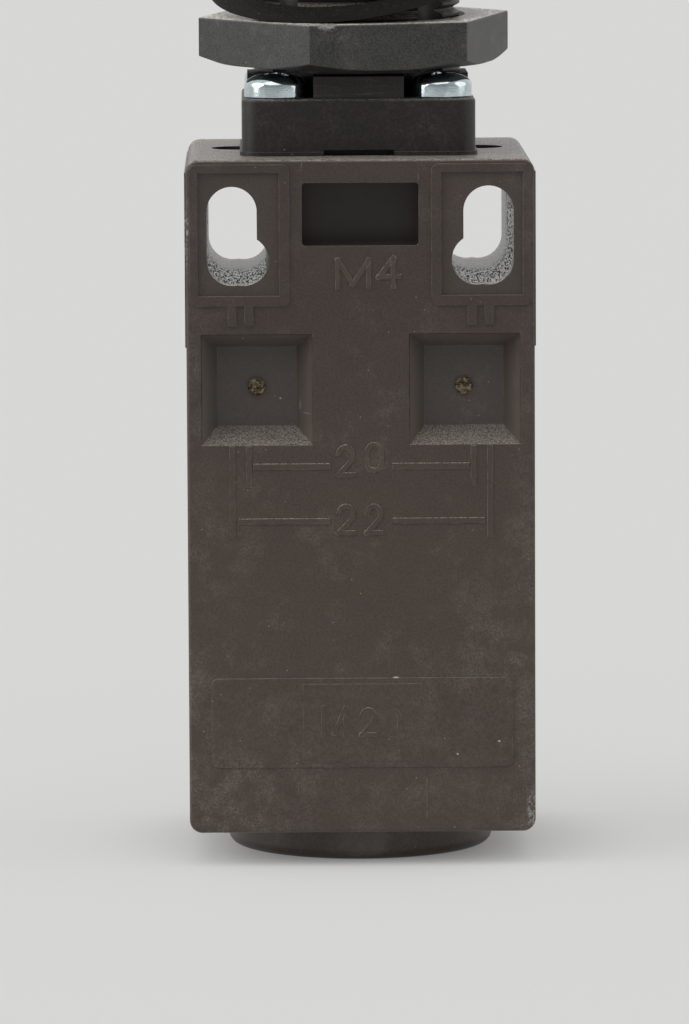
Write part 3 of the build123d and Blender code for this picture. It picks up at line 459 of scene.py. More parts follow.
# dust rubbed into the mounting face, more towards its sides and foot
side_rub = between(shell, apart(shell, shell_at["X"]), 11.5 * mm, 15.2 * mm)
foot_rub = between(shell, shell_at["Z"], 26 * mm, 4 * mm, 0.0, 0.45)
rubbed = reckon(shell, "MULTIPLY_ADD", side_rub, 0.7, foot_rub)
# and in patches: centre and reach in millimetres, share
for spot_centre, spot_reach, spot_share in (
    ((-10.5, -15, 5.5), (5, 6, 6), 0.8),
    ((11.5, -15, 20.5), (5, 6, 7), 0.8),
    ((7.5, -15, 15.5), (4, 6, 4), 0.5),
    ((-12, -15, 27), (4, 6, 9), 0.4),
):
    spot = near(shell, shell_place, spot_centre, spot_reach)
    rubbed = reckon(shell, "MULTIPLY_ADD", spot, spot_share, rubbed)
rub_fine = between(shell, patches(shell, shell_place, 0.16 * mm, 2.0), 0.38, 0.64)
rub_cloud = between(shell, patches(shell, shell_place, 2.2 * mm, 4.0, 0.7), 0.38, 0.66)
rub_flank = between(shell, apart(shell, shell_faces["X"]), 0.5, 0.9, 0.16, 0.07)
lay_over(shell, times(shell, rubbed, rub_fine, rub_cloud, rub_flank), DUST_AND_PAINTED_LIGHT_COLOUR)
# painted light and painted shade: the sides and floors of the recesses are painted lighter with the dust
# colour than the light leaves them, and the nut pocket is painted darker as shade, to match the photo
in_recess = times(
    shell,
    between(shell, shell_at["Y"], -14.96 * mm, -14.6 * mm),
    between(shell, shell_at["Y"], -11.3 * mm, -11.5 * mm),
    within(shell, shell_at["X"], 0.0, FACE_HALF_WIDTH * mm, 0.2 * mm),
)
not_up = between(shell, shell_faces["Z"], 0.35, 0.1)
sloping = between(shell, shell_faces["Y"], -0.9, -0.6, 0.04, 0.16)
lit_side = between(shell, shell_faces["X"], -0.6, 0.6, 0.0, 0.065)
recess_painted_light = reckon(shell, "ADD", sloping, lit_side, clamp=True)
# painted light: the recesses' sloping and side faces are lightened with the dust colour
lay_over(shell, times(shell, in_recess, recess_painted_light, not_up), DUST_AND_PAINTED_LIGHT_COLOUR)
pocket_shade_zone = times(
    shell,
    within(shell, shell_at["Z"], POCKET_LEVEL * mm, POCKET_HALF_HEIGHT * mm, 0.05 * mm),
    within(shell, shell_at["X"], 0.0, POCKET_HALF_WIDTH * mm, 0.1 * mm),
    between(shell, shell_at["Y"], -14.9 * mm, -14.5 * mm),
    between(shell, shell_at["Y"], -9 * mm, -10 * mm),
)
# painted shade: the nut pocket's colour is darkened to stand in for the shade inside it
lay_over(shell, pocket_shade_zone, POCKET_PAINTED_SHADE, "MULTIPLY")
# pale specks, partly dust and partly painted sheen, in the two slots and on the top face, and darker between
# the specks deep in the slots and on the top face
in_slot = times(
    shell,
    within(shell, apart(shell, shell_at["X"]), SLOT_X * mm, SLOT_HALF_WIDTH * mm, 0.1 * mm),
    within(shell, shell_at["Z"], SLOT_LEVEL * mm, SLOT_HALF_HEIGHT * mm, 0.1 * mm),
    within(shell, shell_faces["Y"], 0.0, 0.2, 0.1),
)
top_up = between(shell, shell_faces["Z"], 0.5, 0.9)
on_top = times(shell, between(shell, shell_at["Z"], 60.6 * mm, 61.1 * mm), top_up, 0.5)
drawn_place = stretched(shell, shell_place, (1.0, 0.11, 1.0))
specks = between(shell, patches(shell, drawn_place, 0.15 * mm, 3.0, 0.7), 0.43, 0.52)
speck_thin = between(shell, patches(shell, shell_place, 1.5 * mm, 2.0), 0.35, 0.65, 0.45, 1.0)
slot_low = between(shell, shell_faces["Z"], -0.2, 0.5, 0.5, 1.0)
dust_and_sheen_zone = reckon(shell, "MAXIMUM", times(shell, in_slot, slot_low), on_top)
# painted sheen with dust: pale specks on the slot walls and the top face
lay_over(shell, times(shell, dust_and_sheen_zone, specks, speck_thin), SPECK_DUST_AND_SHEEN)
slot_front = between(shell, shell_at["Y"], -14.4 * mm, -11 * mm)
slot_back = between(shell, shell_at["Y"], 6 * mm, -3 * mm)
slot_deep = times(shell, in_slot, slot_front, slot_back)
speck_gaps = reckon(shell, "SUBTRACT", 1.0, specks)
lay_over(shell, times(shell, reckon(shell, "MAXIMUM", slot_deep, on_top), speck_gaps), SPECK_TINT, "MULTIPLY")
roughen(shell, in_slot, -0.10)
roughen(shell, times(shell, slot_deep, reckon(shell, "SUBTRACT", 0.85, specks)), 0.6)
# light nicks and scratches, then two chipped edges: centre and reach in millimetres, share
nick_ragged = between(shell, patches(shell, shell_place, 0.28 * mm, 3.0, 0.7), 0.50, 0.58)
nicks = 0.0
for nick_centre, nick_reach, nick_share, nick_whole in (
    ((-5.2, -13.5, 39.9), (0.10, 4, 0.7), 0.45, True),
    ((-4.65, -13.5, 39.3), (0.5, 4, 0.08), 0.35, True),
    ((2.9, -15, 16.5), (0.35, 1, 0.10), 0.9, True),
    ((8.2, -15, 9.8), (0.12, 1, 0.12), 0.9, True),
    ((11.8, -15, 10.9), (0.16, 1, 0.11), 0.9, True),
    ((-10.1, -13, 45.8), (0.12, 4, 0.12), 0.8, True),
    ((-6.9, -13, 40.4), (0.13, 4, 0.14), 0.9, True),
    ((-2.3, -15, 57.6), (0.12, 1, 0.12), 0.7, True),
    ((14.7, -15, 4.8), (0.7, 2, 2.4), 0.45, False),
    ((-15, -15, 55.0), (0.5, 1.5, 4.0), 0.55, False),
):
    nick = times(shell, near(shell, shell_place, nick_centre, nick_reach), nick_share)
    nicks = reckon(shell, "MAXIMUM", nicks, nick if nick_whole else times(shell, nick, nick_ragged))
lay_over(shell, nicks, NICK_COLOUR)
# the shell's upper part is toned darker and redder all round, as the photo has it on its face
lay_over(shell, between(shell, shell_at["Z"], 26 * mm, 50 * mm, 0.0, 0.55), UPPER_TINT, "MULTIPLY")
piece("housing_shell", cut_away(cad_solid("housing"), entry_thread), "switch_body", "housing_plastic",
      housing_plastic, "housing")

# Dimension marks: the hole spacings and thread sizes, raised a little from the mounting face
# by engraving the mould, with the fine lines where the mould's inserts meet.
MOUNTING_FACE = -15.0
INSERT_FACE = -15.13
MARK_HEIGHT = 0.08
MARK_STROKE = 0.5
MARK_ROOT = -0.03
MARK_CREST = 0.39
# edge colour: painted highlight along the marks' edges, with some wear
MARK_WEAR_AND_HIGHLIGHT = (0.36, 0.325, 0.295, 1)
INSERT_HEIGHT = 0.045
INSERT_FAINT = 0.015
INSERT_STROKE = 0.46
SEAM_HEIGHT = 0.02
SEAM_STROKE = 0.10


def rounded(share):
    """Squares a circle's share a little, for a nought with straight sides."""
    return math.copysign(abs(share) ** 0.75, share)


CURL = [(0.5 + 0.5 * math.cos(a), 0.7 + 0.3 * math.sin(a))
        for a in [math.radians(d) for d in range(168, -50, -18)]]
OVAL = [(0.5 + 0.5 * rounded(math.cos(a)), 0.5 + 0.5 * rounded(math.sin(a)))
        for a in [math.radians(d) for d in range(0, 360, 15)]]
# the strokes of each character in a box one wide and one high
CHARACTERS = {
    "2": [CURL + [(0, 0)], [(0, 0), (1, 0)]],
    "0": [OVAL],
    "M": [[(0, 0), (0, 1)], [(0, 1), (0.5, 0.08)], [(0.5, 0.08), (1, 1)], [(1, 1), (1, 0)]],
    "4": [[(0.72, 0), (0.72, 1)], [(0.72, 1), (0, 0.32)], [(0, 0.32), (1, 0.32)]],
}


def raised_stroke(marks, points, width, face, height, looped=False):
    """A low ridge along some points (x, z) in millimetres, with sloped sides."""
    count = len(points)
    rows = []
    for i, (x, z) in enumerate(points):
        before = points[i - 1] if looped or i else (x, z)
        after = points[(i + 1) % count] if looped or i < count - 1 else (x, z)
        way = Vector((after[0] - before[0], after[1] - before[1])).normalized()
        lead = Vector((x - before[0], z - before[1]))
        widen = 1 / max(0.6, way.dot(lead.normalized())) if lead.length > 0 else 1.0
        push = 0.0 if looped or 0 < i < count - 1 else (width / 2 if i else -width / 2)
        side = Vector((-way.y, way.x)) * widen
        row = []
        for reach, out, draw in (
            (-0.5, MARK_ROOT, 1.0), (-MARK_CREST, height, 0.9),
            (MARK_CREST, height, 0.9), (0.5, MARK_ROOT, 1.0),
        ):
            spot = Vector((x, z)) + side * width * reach + way * push * draw
            row.append(marks.verts.new((spot.x * mm, (face - out) * mm, spot.y * mm)))
        rows.append(row)
    for row, after in zip(rows, rows[1:] + rows[:1] if looped else rows[1:]):
        for i in range(3):
            marks.faces.new((row[i], row[i + 1], after[i + 1], after[i]))
    if not looped:
        marks.faces.new(rows[0][::-1])
        marks.faces.new(rows[-1])


marks = bmesh.new()
# character, left, right, bottom and top edge, stroke, face, height
for character, left, right, bottom, top, stroke, face, height in (
    ("2", -2.22, -0.46, 33.82, 36.73, MARK_STROKE, MOUNTING_FACE, MARK_HEIGHT),
    ("0", 0.22, 2.02, 34.20, 36.90, MARK_STROKE, MOUNTING_FACE, MARK_HEIGHT * 0.8),
    ("2", -2.22, -0.46, 28.80, 31.60, MARK_STROKE, MOUNTING_FACE, MARK_HEIGHT * 0.9),
    ("2", 0.22, 1.90, 28.80, 31.60, MARK_STROKE, MOUNTING_FACE, MARK_HEIGHT),
    ("M", -2.20, 0.96, 50.06, 52.78, MARK_STROKE, MOUNTING_FACE, MARK_HEIGHT),
    ("4", 1.34, 3.55, 50.10, 52.96, MARK_STROKE, MOUNTING_FACE, MARK_HEIGHT),
    ("M", -3.60, -1.25, 11.29, 14.08, INSERT_STROKE, INSERT_FACE, INSERT_HEIGHT),
    ("2", -0.30, 1.27, 11.29, 13.94, INSERT_STROKE, INSERT_FACE, INSERT_HEIGHT),
    ("0", 1.97, 3.44, 11.25, 13.80, INSERT_STROKE, INSERT_FACE, INSERT_FAINT),
):
    wide, high = right - left - stroke, top - bottom - stroke
    for number, path in enumerate(CHARACTERS[character]):
        inner = [(left + stroke / 2 + wide * u, bottom + stroke / 2 + high * v) for u, v in path]
        raised_stroke(marks, inner, stroke, face, height - 0.004 * number, path is OVAL)
# the two dimension lines with their end bars, then two seams: (x, z) from and to, width, height
for start, end, width, height in (
    ((11.075, 28.9), (11.075, 36.3), 0.62, MARK_HEIGHT - 0.01),
    ((9.65, 33.3), (9.65, 36.3), 0.60, MARK_HEIGHT),
    ((2.98, 34.79), (9.0, 34.79), 0.66, MARK_HEIGHT - 0.01),
    ((2.98, 30.07), (10.3, 30.07), 0.60, MARK_HEIGHT),
    ((5.0, 60.9), (5.0, 59.3), SEAM_STROKE, SEAM_HEIGHT),
    ((5.56, 8.4), (5.56, 4.3), SEAM_STROKE, SEAM_HEIGHT),
):
    for side in (-1, 1):
        raised_stroke(marks, [(side * x, z) for x, z in (start, end)], width, MOUNTING_FACE, height)
bmesh.ops.recalc_face_normals(marks, faces=marks.faces)
mark_plastic = moulded_plastic("mark_plastic", HOUSING_COLOUR, MARK_WEAR_AND_HIGHLIGHT, 0.45, 0.1, edge=0.055 * mm)
piece("dimension_marks", marks, "switch_body", "housing_plastic", mark_plastic)

# Gate scars: the two stubs where the plastic ran into the mould, torn off by hand, so
# that their ends are ragged, pale and yellowish.
GATE_COLOUR = (0.215, 0.160, 0.085, 1)
GATE_PIT = (0.020, 0.013, 0.009, 1)
GATE_X = 8.93
GATE_Y = -11.85
GATE_Z = 41.45
SCAR_RADIUS = 0.77
SCAR_RINGS = 8
SCAR_STEPS = 36
gate_torn, gate_tree, gate_shader = new_finish("gate_torn")
gate_pits = between(gate_tree, patches(gate_tree, here(gate_tree), 0.36 * mm, 3.0, 0.7), 0.41, 0.58)
gate_tree.links.new(mixed(gate_tree, gate_pits, GATE_PIT, GATE_COLOUR), gate_shader.inputs["Base Color"])
gate_tree.links.new(reckon(gate_tree, "MULTIPLY_ADD", gate_pits, -0.3, 0.85), gate_shader.inputs["Roughness"])
gate_bump = add(gate_tree, "Bump", {"Height": gate_pits, "Distance": 0.04 * mm})
gate_tree.links.new(gate_bump.outputs[0], gate_shader.inputs["Normal"])
scars = bmesh.new()
for side in (-1, 1):
    crown = []
    for step in range(SCAR_RINGS + 1):
        reach = SCAR_RADIUS * step / SCAR_RINGS
        ring = []
        for i in range(SCAR_STEPS):
            angle = 2 * math.pi * i / SCAR_STEPS
            x = side * GATE_X + reach * math.cos(angle)
            z = GATE_Z + reach * math.sin(angle)
            torn = 0.09 + 0.10 * noise.noise(Vector((x * 5, z * 5, 3.7))) if step < SCAR_RINGS else -0.03
            ring.append((x * mm, (GATE_Y - torn) * mm, z * mm))
        crown.append([scars.verts.new(point) for point in (ring if step else ring[:1])])
    for i in range(SCAR_STEPS):
        after = (i + 1) % SCAR_STEPS
        scars.faces.new((crown[0][0], crown[1][i], crown[1][after]))
        for ring, outer in zip(crown[1:], crown[2:]):
            scars.faces.new((ring[i], outer[i], outer[after], ring[after]))
    scars.faces.new(crown[-1][::-1])
bmesh.ops.recalc_face_normals(scars, faces=scars.faces)
piece("gate_scars", scars, "switch_body", "housing_plastic", gate_torn, degrees=50)

# Front cover: the lid over the contact block. The same nylon as the housing, with a finely
# eroded field, held by two screws and hooked under the roof by its tongues.
COVER_COLOUR = (0.061, 0.046, 0.040, 1)


def dress(finish, *nodes):
    """Gives CAD nodes a finish."""
    for node in nodes:
        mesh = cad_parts[node].data
        mesh.materials.clear()
        mesh.materials.append(finish)


cover_plastic = moulded_plastic("cover_plastic", COVER_COLOUR, HOUSING_WEAR_AND_HIGHLIGHT, 0.40, 0.3, dull=0.55,
                                grain=0.26 * mm, relief=0.012 * mm)
dress(cover_plastic, "front_cover")

# Cover gasket: a nitrile rubber cord ring, laid in the housing's seam under the cover.
# The plunger head's gasket is of the same rubber and is dressed with it.
RUBBER_COLOUR = (0.022, 0.022, 0.024, 1)
gasket_rubber = moulded_plastic("gasket_rubber", RUBBER_COLOUR, (0.05, 0.05, 0.05, 1), 0.15, 0.1, dull=0.72,
                                grain=0.12 * mm, relief=0.004 * mm)
dress(gasket_rubber, "cover_gasket", "head_gasket")

# Cover screws: M3 x 10 pan head steel screws with a cross recess, zinc plated and
# passivated to a faint blue, driven from the cover side into posts of the housing.
ZINC_COLOUR = (0.64, 0.73, 0.76, 1)
ZINC_STAIN = (0.50, 0.58, 0.60, 1)
COVER_SCREW_PLACES = ((-10.55, 10.2), (10.55, 10.2))
COVER_SEAT = 12.8
# a screw's sizes: its head's radius, rim and height, and its shank's length, in millimetres
COVER_SCREW_SIZES = (2.5, 0.75, 1.9, 10.0)
SCREW_THREAD_RADIUS = 1.4
SCREW_PITCH = 0.5
HEAD_CHAMFER = 0.12
RECESS_DEPTH = 1.3
RECESS_WIDE = 0.8
RECESS_ACROSS = 3.6

# Handled metal: Mottle is its stains and dulling, Height its tool marks and pits
handled_metal, metal_in, metal_out = effect(
    "handled_metal",
    [("Patch", "Float", 0.0008)],
    [("Mottle", "Float"), ("Height", "Float")],
)
metal_place = here(handled_metal)
metal_cloud = patches(handled_metal, metal_place, metal_in.outputs["Patch"], 5.0, 0.65)
metal_pits = between(handled_metal, patches(handled_metal, metal_place, 0.12 * mm, 2.0), 0.36, 0.62)
handled_metal.links.new(between(handled_metal, metal_cloud, 0.42, 0.66), metal_out.inputs["Mottle"])
handled_metal.links.new(metal_pits, metal_out.inputs["Height"])


def metal(name, colour, stain, polish, dulled, patch=0.8 * mm, relief=0.002 * mm, edge=0.06 * mm):
    """Metal with stained patches that are duller than the rest."""
    material, tree, shader = new_finish(name)
    handled = add(tree, "Group", {"Patch": patch}, node_tree=handled_metal).outputs
    edges = add(tree, "Group", {"Width": edge}, node_tree=edge_wear_and_highlight).outputs
    tree.links.new(mixed(tree, handled["Mottle"], colour, stain), shader.inputs["Base Color"])
    shader.inputs["Metallic"].default_value = 1.0
    rough = reckon(tree, "MULTIPLY_ADD", handled["Mottle"], dulled - polish, polish)
    tree.links.new(rough, shader.inputs["Roughness"])
    bump = add(tree, "Bump", {"Height": handled["Height"], "Distance": relief, "Normal": edges["Normal"]})
    tree.links.new(bump.outputs[0], shader.inputs["Normal"])
    return material


def turned(profile, steps=48):
    """A solid turned round its axis; profile lists (radius, height) from pole to pole."""
    solid = bmesh.new()
    rings = []
    for radius, level in profile:
        angles = [2 * math.pi * i / steps for i in range(steps)] if radius else [0]
        rings.append([solid.verts.new((radius * math.cos(a), radius * math.sin(a), level)) for a in angles])
    for ring, after in zip(rings, rings[1:]):
        for i in range(steps):
            j = (i + 1) % steps
            if len(ring) == 1:
                solid.faces.new((ring[0], after[i], after[j]))
            elif len(after) == 1:
                solid.faces.new((ring[i], ring[j], after[0]))
            else:
                solid.faces.new((ring[i], ring[j], after[j], after[i]))
    bmesh.ops.recalc_face_normals(solid, faces=solid.faces)
    return solid


def cross_recess(top, depth, wide, across):
    """The driver's cross, which narrows as it goes down into a screw head."""
    rings = []
    for level, share in ((top + 0.3 * mm, 1.12), (top - depth, 0.45)):
        a, b = wide / 2 * (0.6 + 0.4 * share), across / 2 * share
        outline = [(b, -a), (b, a), (a, a), (a, b), (-a, b), (-a, a)]
        rings.append([(x, y, level) for x, y in outline + [(-x, -y) for x, y in outline]])
    return swept(rings)


def screw(sizes, recess_turn):
    """A pan head screw, its seat at the origin and its head up."""
    head_radius, head_rim, head_height, shank = (size * mm for size in sizes)
    thread, core = SCREW_THREAD_RADIUS * mm, SCREW_THREAD_RADIUS * mm * 0.86
    profile = [(0, -shank), (thread * 0.75, -shank)]
    level = -shank + 0.3 * mm
    while level < -0.6 * mm:
        profile += [(core, level), (thread, level + SCREW_PITCH * mm / 2)]
        level += SCREW_PITCH * mm
    profile += [(core, 0), (head_radius - HEAD_CHAMFER * mm, 0), (head_radius, HEAD_CHAMFER * mm)]
    profile.append((head_radius, head_rim - 0.1 * mm))
    dome = head_height - head_rim
    for i in range(10):
        angle = math.radians(6 + 84 * i / 10)
        profile.append((head_radius * math.cos(angle) ** 0.9, head_rim + dome * math.sin(angle)))
    profile.append((0, head_height))
    recess = cross_recess(head_height, RECESS_DEPTH * mm, RECESS_WIDE * mm, RECESS_ACROSS * mm)
    recess.transform(Matrix.Rotation(recess_turn, 4, "Z"))
    return cut_away(turned(profile), recess)


def joined(solids):
    """Several solids in one, each already in its place."""
    whole = bmesh.new()
    for solid in solids:
        mesh = bpy.data.meshes.new("part")
        solid.to_mesh(mesh)
        solid.free()
        whole.from_mesh(mesh)
        bpy.data.meshes.remove(mesh)
    return whole


zinc_steel = metal("zinc_steel", ZINC_COLOUR, ZINC_STAIN, 0.07, 0.16, patch=1.6 * mm, relief=0.0012 * mm)
cover_screws = []
for (x, z), recess_turn in zip(COVER_SCREW_PLACES, (0.4, 1.1)):
    one = screw(COVER_SCREW_SIZES, recess_turn)
    seat = Matrix.Translation((x * mm, COVER_SEAT * mm, z * mm))
    one.transform(seat @ Matrix.Rotation(-math.pi / 2, 4, "X"))
    cover_screws.append(one)
piece("cover_pan_screws", joined(cover_screws), "switch_body", "zinc_steel", zinc_steel, "cover_screws")

# Plunger head: the square flange, neck and M18 x 1 collar that guide the plunger. Glass
# filled nylon in black, its thread cut after moulding and broken by the four flutes.
HEAD_COLOUR = (0.0165, 0.0130, 0.0120, 1)
HEAD_WORN = (0.060, 0.058, 0.056, 1)
COLLAR_RADIUS = 9.0
COLLAR_TOP = 88.2
COLLAR_THREAD_BOTTOM = 69.6
COLLAR_PITCH = 1.0
collar_profile = [
    ((COLLAR_RADIUS + 0.1) * mm, -0.43 * mm),
    ((COLLAR_RADIUS - 0.55) * mm, -0.06 * mm),
    ((COLLAR_RADIUS - 0.55) * mm, 0.06 * mm),
    ((COLLAR_RADIUS + 0.1) * mm, 0.43 * mm),
]
collar_thread = thread_cutter(COLLAR_PITCH * mm, COLLAR_THREAD_BOTTOM * mm, (COLLAR_TOP + 0.8) * mm,
                              collar_profile, 0.7 * mm)
head_plastic = moulded_plastic("head_plastic", HEAD_COLOUR, HEAD_WORN, 0.30, 0.2, dull=0.44, uneven=0.6,
                               shine=0.34)
head_tree = head_plastic.node_tree
head_place = here(head_tree)
# pale streaks round the neck, between the flange and the lower nut
streak_place = stretched(head_tree, head_place, (0.12, 0.12, 1.0))
streaks = between(head_tree, patches(head_tree, streak_place, 0.22 * mm, 3.0, 0.7), 0.52, 0.66)
head_level = add(head_tree, "SeparateXYZ", {0: head_place}).outputs["Z"]
above_flange = between(head_tree, head_level, 66.2 * mm, 66.4 * mm)
below_nut = between(head_tree, head_level, 68.1 * mm, 67.9 * mm)
lay_over(head_tree, times(head_tree, streaks, above_flange, below_nut, 0.5), HEAD_WORN)
piece("threaded_head", cut_away(cad_solid("plunger_head"), collar_thread), "switch_body", "head_plastic",
      head_plastic, "plunger_head")

# Head screws: four M3 screws with deep pan heads, plated like the cover's, which hold
# the head down on its gasket.
HEAD_SEAT = 66.1
HEAD_SCREW_SIZES = (2.7, 1.1, 2.15, 9.9)
HEAD_SCREW_HALF_PITCH = 7.15
head_screw_set = []
for x, y, recess_turn in ((-1, -1, 0.55), (1, -1, 1.25), (-1, 1, 0.2), (1, 1, 0.9)):
    one = screw(HEAD_SCREW_SIZES, recess_turn)
    spot = Vector((x * HEAD_SCREW_HALF_PITCH, y * HEAD_SCREW_HALF_PITCH, HEAD_SEAT))
    one.transform(Matrix.Translation(spot * mm))
    head_screw_set.append(one)
piece("head_pan_screws", joined(head_screw_set), "switch_body", "zinc_steel", zinc_steel, "head_screws")

# Nuts: two M18 x 1 hexagon nuts, 24.2 mm across, moulded in black nylon, chamfered on their
# lower side. The lower one is loose, leans and has a chip in its front edge.
NUT_COLOUR = (0.0285, 0.0275, 0.0265, 1)
NUT_WORN = (0.100, 0.099, 0.096, 1)
CHIP_COLOUR = (0.240, 0.235, 0.222, 1)
NUT_ACROSS = 24.2
NUT_THICK = 4.0
NUT_STEPS = 360
CHAMFER_RADIUS = 12.2
CHAMFER_SLOPE = 0.367
CHIP_PLACE = -2.72
CHIP_HALF = 0.85
CHIP_DEPTH = 0.30
SEAM_PLACE = 2.62
# dust and painted sheen on the nuts' tops
NUT_DUST_AND_SHEEN = (0.80, 0.77, 0.71, 1)


def hexagon_reach(angle):
    """How far the nut's side is from its axis, with corners rounded a little."""
    turn_in = (math.degrees(angle) % 60) - 30
    flat = NUT_ACROSS / 2 / math.cos(math.radians(turn_in))
    corner = NUT_ACROSS / 2 / math.cos(math.radians(30)) - 0.05
    return flat - max(0.0, flat - corner) * 0.8


def hexagon_nut(nut_turn, bore, chipped):
    """A nut with its bottom at the origin; one corner points along nut_turn."""
    rings = []
    for i in range(NUT_STEPS):
        angle = 2 * math.pi * i / NUT_STEPS
        reach = hexagon_reach(angle)
        around = angle + math.radians(nut_turn)
        x = reach * math.cos(around)
        front = math.sin(around) < -0.5
        side = reach + (0.02 if front and abs(x - SEAM_PLACE) < 0.14 else 0.0)
        chip = 0.0
        if chipped and front and abs(x - CHIP_PLACE) < CHIP_HALF:
            ragged = 0.8 + 0.5 * noise.noise(Vector((x * 4, 1, 2)))
            chip = CHIP_DEPTH * (1 - ((x - CHIP_PLACE) / CHIP_HALF) ** 4) * ragged
        rise = max(0.0, (reach - CHAMFER_RADIUS) * CHAMFER_SLOPE)
        profile = (
            (bore, 0.35), (bore + 0.35, 0), (min(CHAMFER_RADIUS, reach - 0.08), 0), (reach - 0.04, rise),
            (side, rise + 0.08), (side, NUT_THICK - 0.12 - chip),
            (side - 0.05 - 0.35 * chip, NUT_THICK - 0.035 - chip * 0.5),
            (side - 0.12 - 0.9 * chip, NUT_THICK), (bore + 0.35, NUT_THICK), (bore, NUT_THICK - 0.35),
        )
        rings.append([(r * math.cos(around) * mm, r * math.sin(around) * mm, h * mm) for r, h in profile])
    solid = swept(rings + rings[:1], capped=False)
    bmesh.ops.remove_doubles(solid, verts=solid.verts, dist=1e-8)
    return solid


nut_plastic = moulded_plastic("nut_plastic", NUT_COLOUR, NUT_WORN, 0.75, 0.3, dull=0.47, grain=0.15 * mm,
                              relief=0.010 * mm, uneven=1.0, edge=0.07 * mm)
nut_tree = nut_plastic.node_tree
nut_place = here(nut_tree)
# dust and painted sheen on what faces up, stronger towards the rim and drawn out from front to back
nut_drawn = stretched(nut_tree, nut_place, (1.0, 0.15, 1.0))
nut_dust_and_sheen_pattern = between(nut_tree, patches(nut_tree, nut_drawn, 0.3 * mm, 4.0, 0.7), 0.40, 0.54, 0.15, 1.0)
nut_out = length(nut_tree, stretched(nut_tree, nut_place, (1.0, 1.0, 0.0)))
nut_rim = between(nut_tree, nut_out, 10.2 * mm, 12.2 * mm, 0.25, 1.0)
nut_top = between(nut_tree, facing(nut_tree)["Z"], 0.80, 0.97)
# painted sheen with dust: the nut tops are laid pale, more towards the rim
lay_over(nut_tree, times(nut_tree, nut_top, nut_dust_and_sheen_pattern, nut_rim), NUT_DUST_AND_SHEEN)
roughen(nut_tree, nut_top, -0.14)
chip_spot = near(nut_tree, nut_place, (CHIP_PLACE, -12.4, 72.55), (1.2, 1.6, 0.75))
chip_ragged = between(nut_tree, patches(nut_tree, nut_place, 0.3 * mm, 3.0), 0.42, 0.56)
lay_over(nut_tree, times(nut_tree, chip_spot, chip_ragged), CHIP_COLOUR)
# name, node, bottom, turn and bore, shift to the side, lean in degrees
for nut_name, node, bottom, nut_turn, bore, shift, lean in (
    ("loose_nut", "lower_nut", 69.0, 13.3, 9.35, -0.23, 1.8),
    ("tight_nut", "upper_nut", 82.2, 37.0, 9.05, 0.0, 0.0),
):
    nut = hexagon_nut(nut_turn, bore, node == "lower_nut")
    nut_seat = Matrix.Translation((shift * mm, 0, bottom * mm))
    nut.transform(nut_seat @ Matrix.Rotation(math.radians(lean), 4, "X"))
    piece(nut_name, nut, "switch_body", "nut_plastic", nut_plastic, node, degrees=24)

# Washer: a plain flat washer for the panel, steel with a black oxide finish. It is loose
# on the collar, leans on the lower nut, and has dust and grit on its upper face.
WASHER_COLOUR = (0.0060, 0.0052, 0.0045, 1)
WASHER_RIM = (0.020, 0.0190, 0.0180, 1)
washer_oxide = moulded_plastic("washer_oxide", WASHER_COLOUR, WASHER_RIM, 0.04, 0.8, dull=0.6,
                               grain=0.14 * mm, uneven=0.9, edge=0.06 * mm, shine=0.06)
washer_tree = washer_oxide.node_tree
lay_over(washer_tree, between(washer_tree, facing(washer_tree)["Z"], 0.75, 0.45), WASHER_RIM)
dress(washer_oxide, "panel_washer")

# Wiper seal: a ring of nitrile rubber that lies in the recess at the collar's mouth, with
# a lip that wipes the plunger clean.
seal_rubber = moulded_plastic("seal_rubber", RUBBER_COLOUR, (0.05, 0.05, 0.05, 1), 0.25, 0.3, dull=0.6,
                              grain=0.12 * mm, relief=0.004 * mm)
dress(seal_rubber, "wiper_seal")

# Plunger: a turned and milled stainless steel rod, forked at its top for the roller,
# with rings from turning on its shaft.
STEEL_COLOUR = (0.56, 0.55, 0.53, 1)
STEEL_STAIN = (0.40, 0.39, 0.37, 1)
plunger_steel = metal("plunger_steel", STEEL_COLOUR, STEEL_STAIN, 0.26, 0.40, patch=2.0 * mm)
plunger_tree = plunger_steel.node_tree
ring_place = stretched(plunger_tree, here(plunger_tree), (0.02, 0.02, 1.0))
lathe_rings = add(plunger_tree, "TexNoise", {"Vector": ring_place, "Scale": 9000.0, "Detail": 2.0})
plunger_rings = add(plunger_tree, "Bump", {
    "Height": lathe_rings.outputs["Fac"], "Distance": 0.0012 * mm,
    "Normal": plunger_tree.nodes["Bump"].outputs[0],
})
plunger_tree.links.new(plunger_rings.outputs[0], plunger_tree.nodes["Principled BSDF"].inputs["Normal"])
dress(plunger_steel, "plunger")

# Roller: a wheel of pale acetal plastic, turned from rod, with a worn band where the
# actuating cam runs on it.
ROLLER_COLOUR = (0.56, 0.53, 0.45, 1)
ROLLER_WORN = (0.62, 0.60, 0.53, 1)
ROLLER_TRACK = (0.26, 0.24, 0.20, 1)
ROLLER_AXIS = (0, 0, 97.8)
roller_acetal = moulded_plastic("roller_acetal", ROLLER_COLOUR, ROLLER_WORN, 0.20, 0.05, dull=0.36,
                                grain=0.3 * mm, relief=0.003 * mm, uneven=0.08)
roller_tree = roller_acetal.node_tree
roller_place = here(roller_tree)
roller_side = add(roller_tree, "SeparateXYZ", {0: roller_place}).outputs["Y"]
track_band = between(roller_tree, apart(roller_tree, roller_side), 1.7 * mm, 0.9 * mm, 0.0, 0.5)
track_broken = between(roller_tree, patches(roller_tree, roller_place, 0.7 * mm, 4.0), 0.40, 0.62)
roller_axis = [v * mm for v in ROLLER_AXIS]
pin_far = add(roller_tree, "VectorMath", {0: roller_place, 1: roller_axis}, operation="DISTANCE")
on_tread = between(roller_tree, pin_far.outputs["Value"], 5.2 * mm, 5.9 * mm)
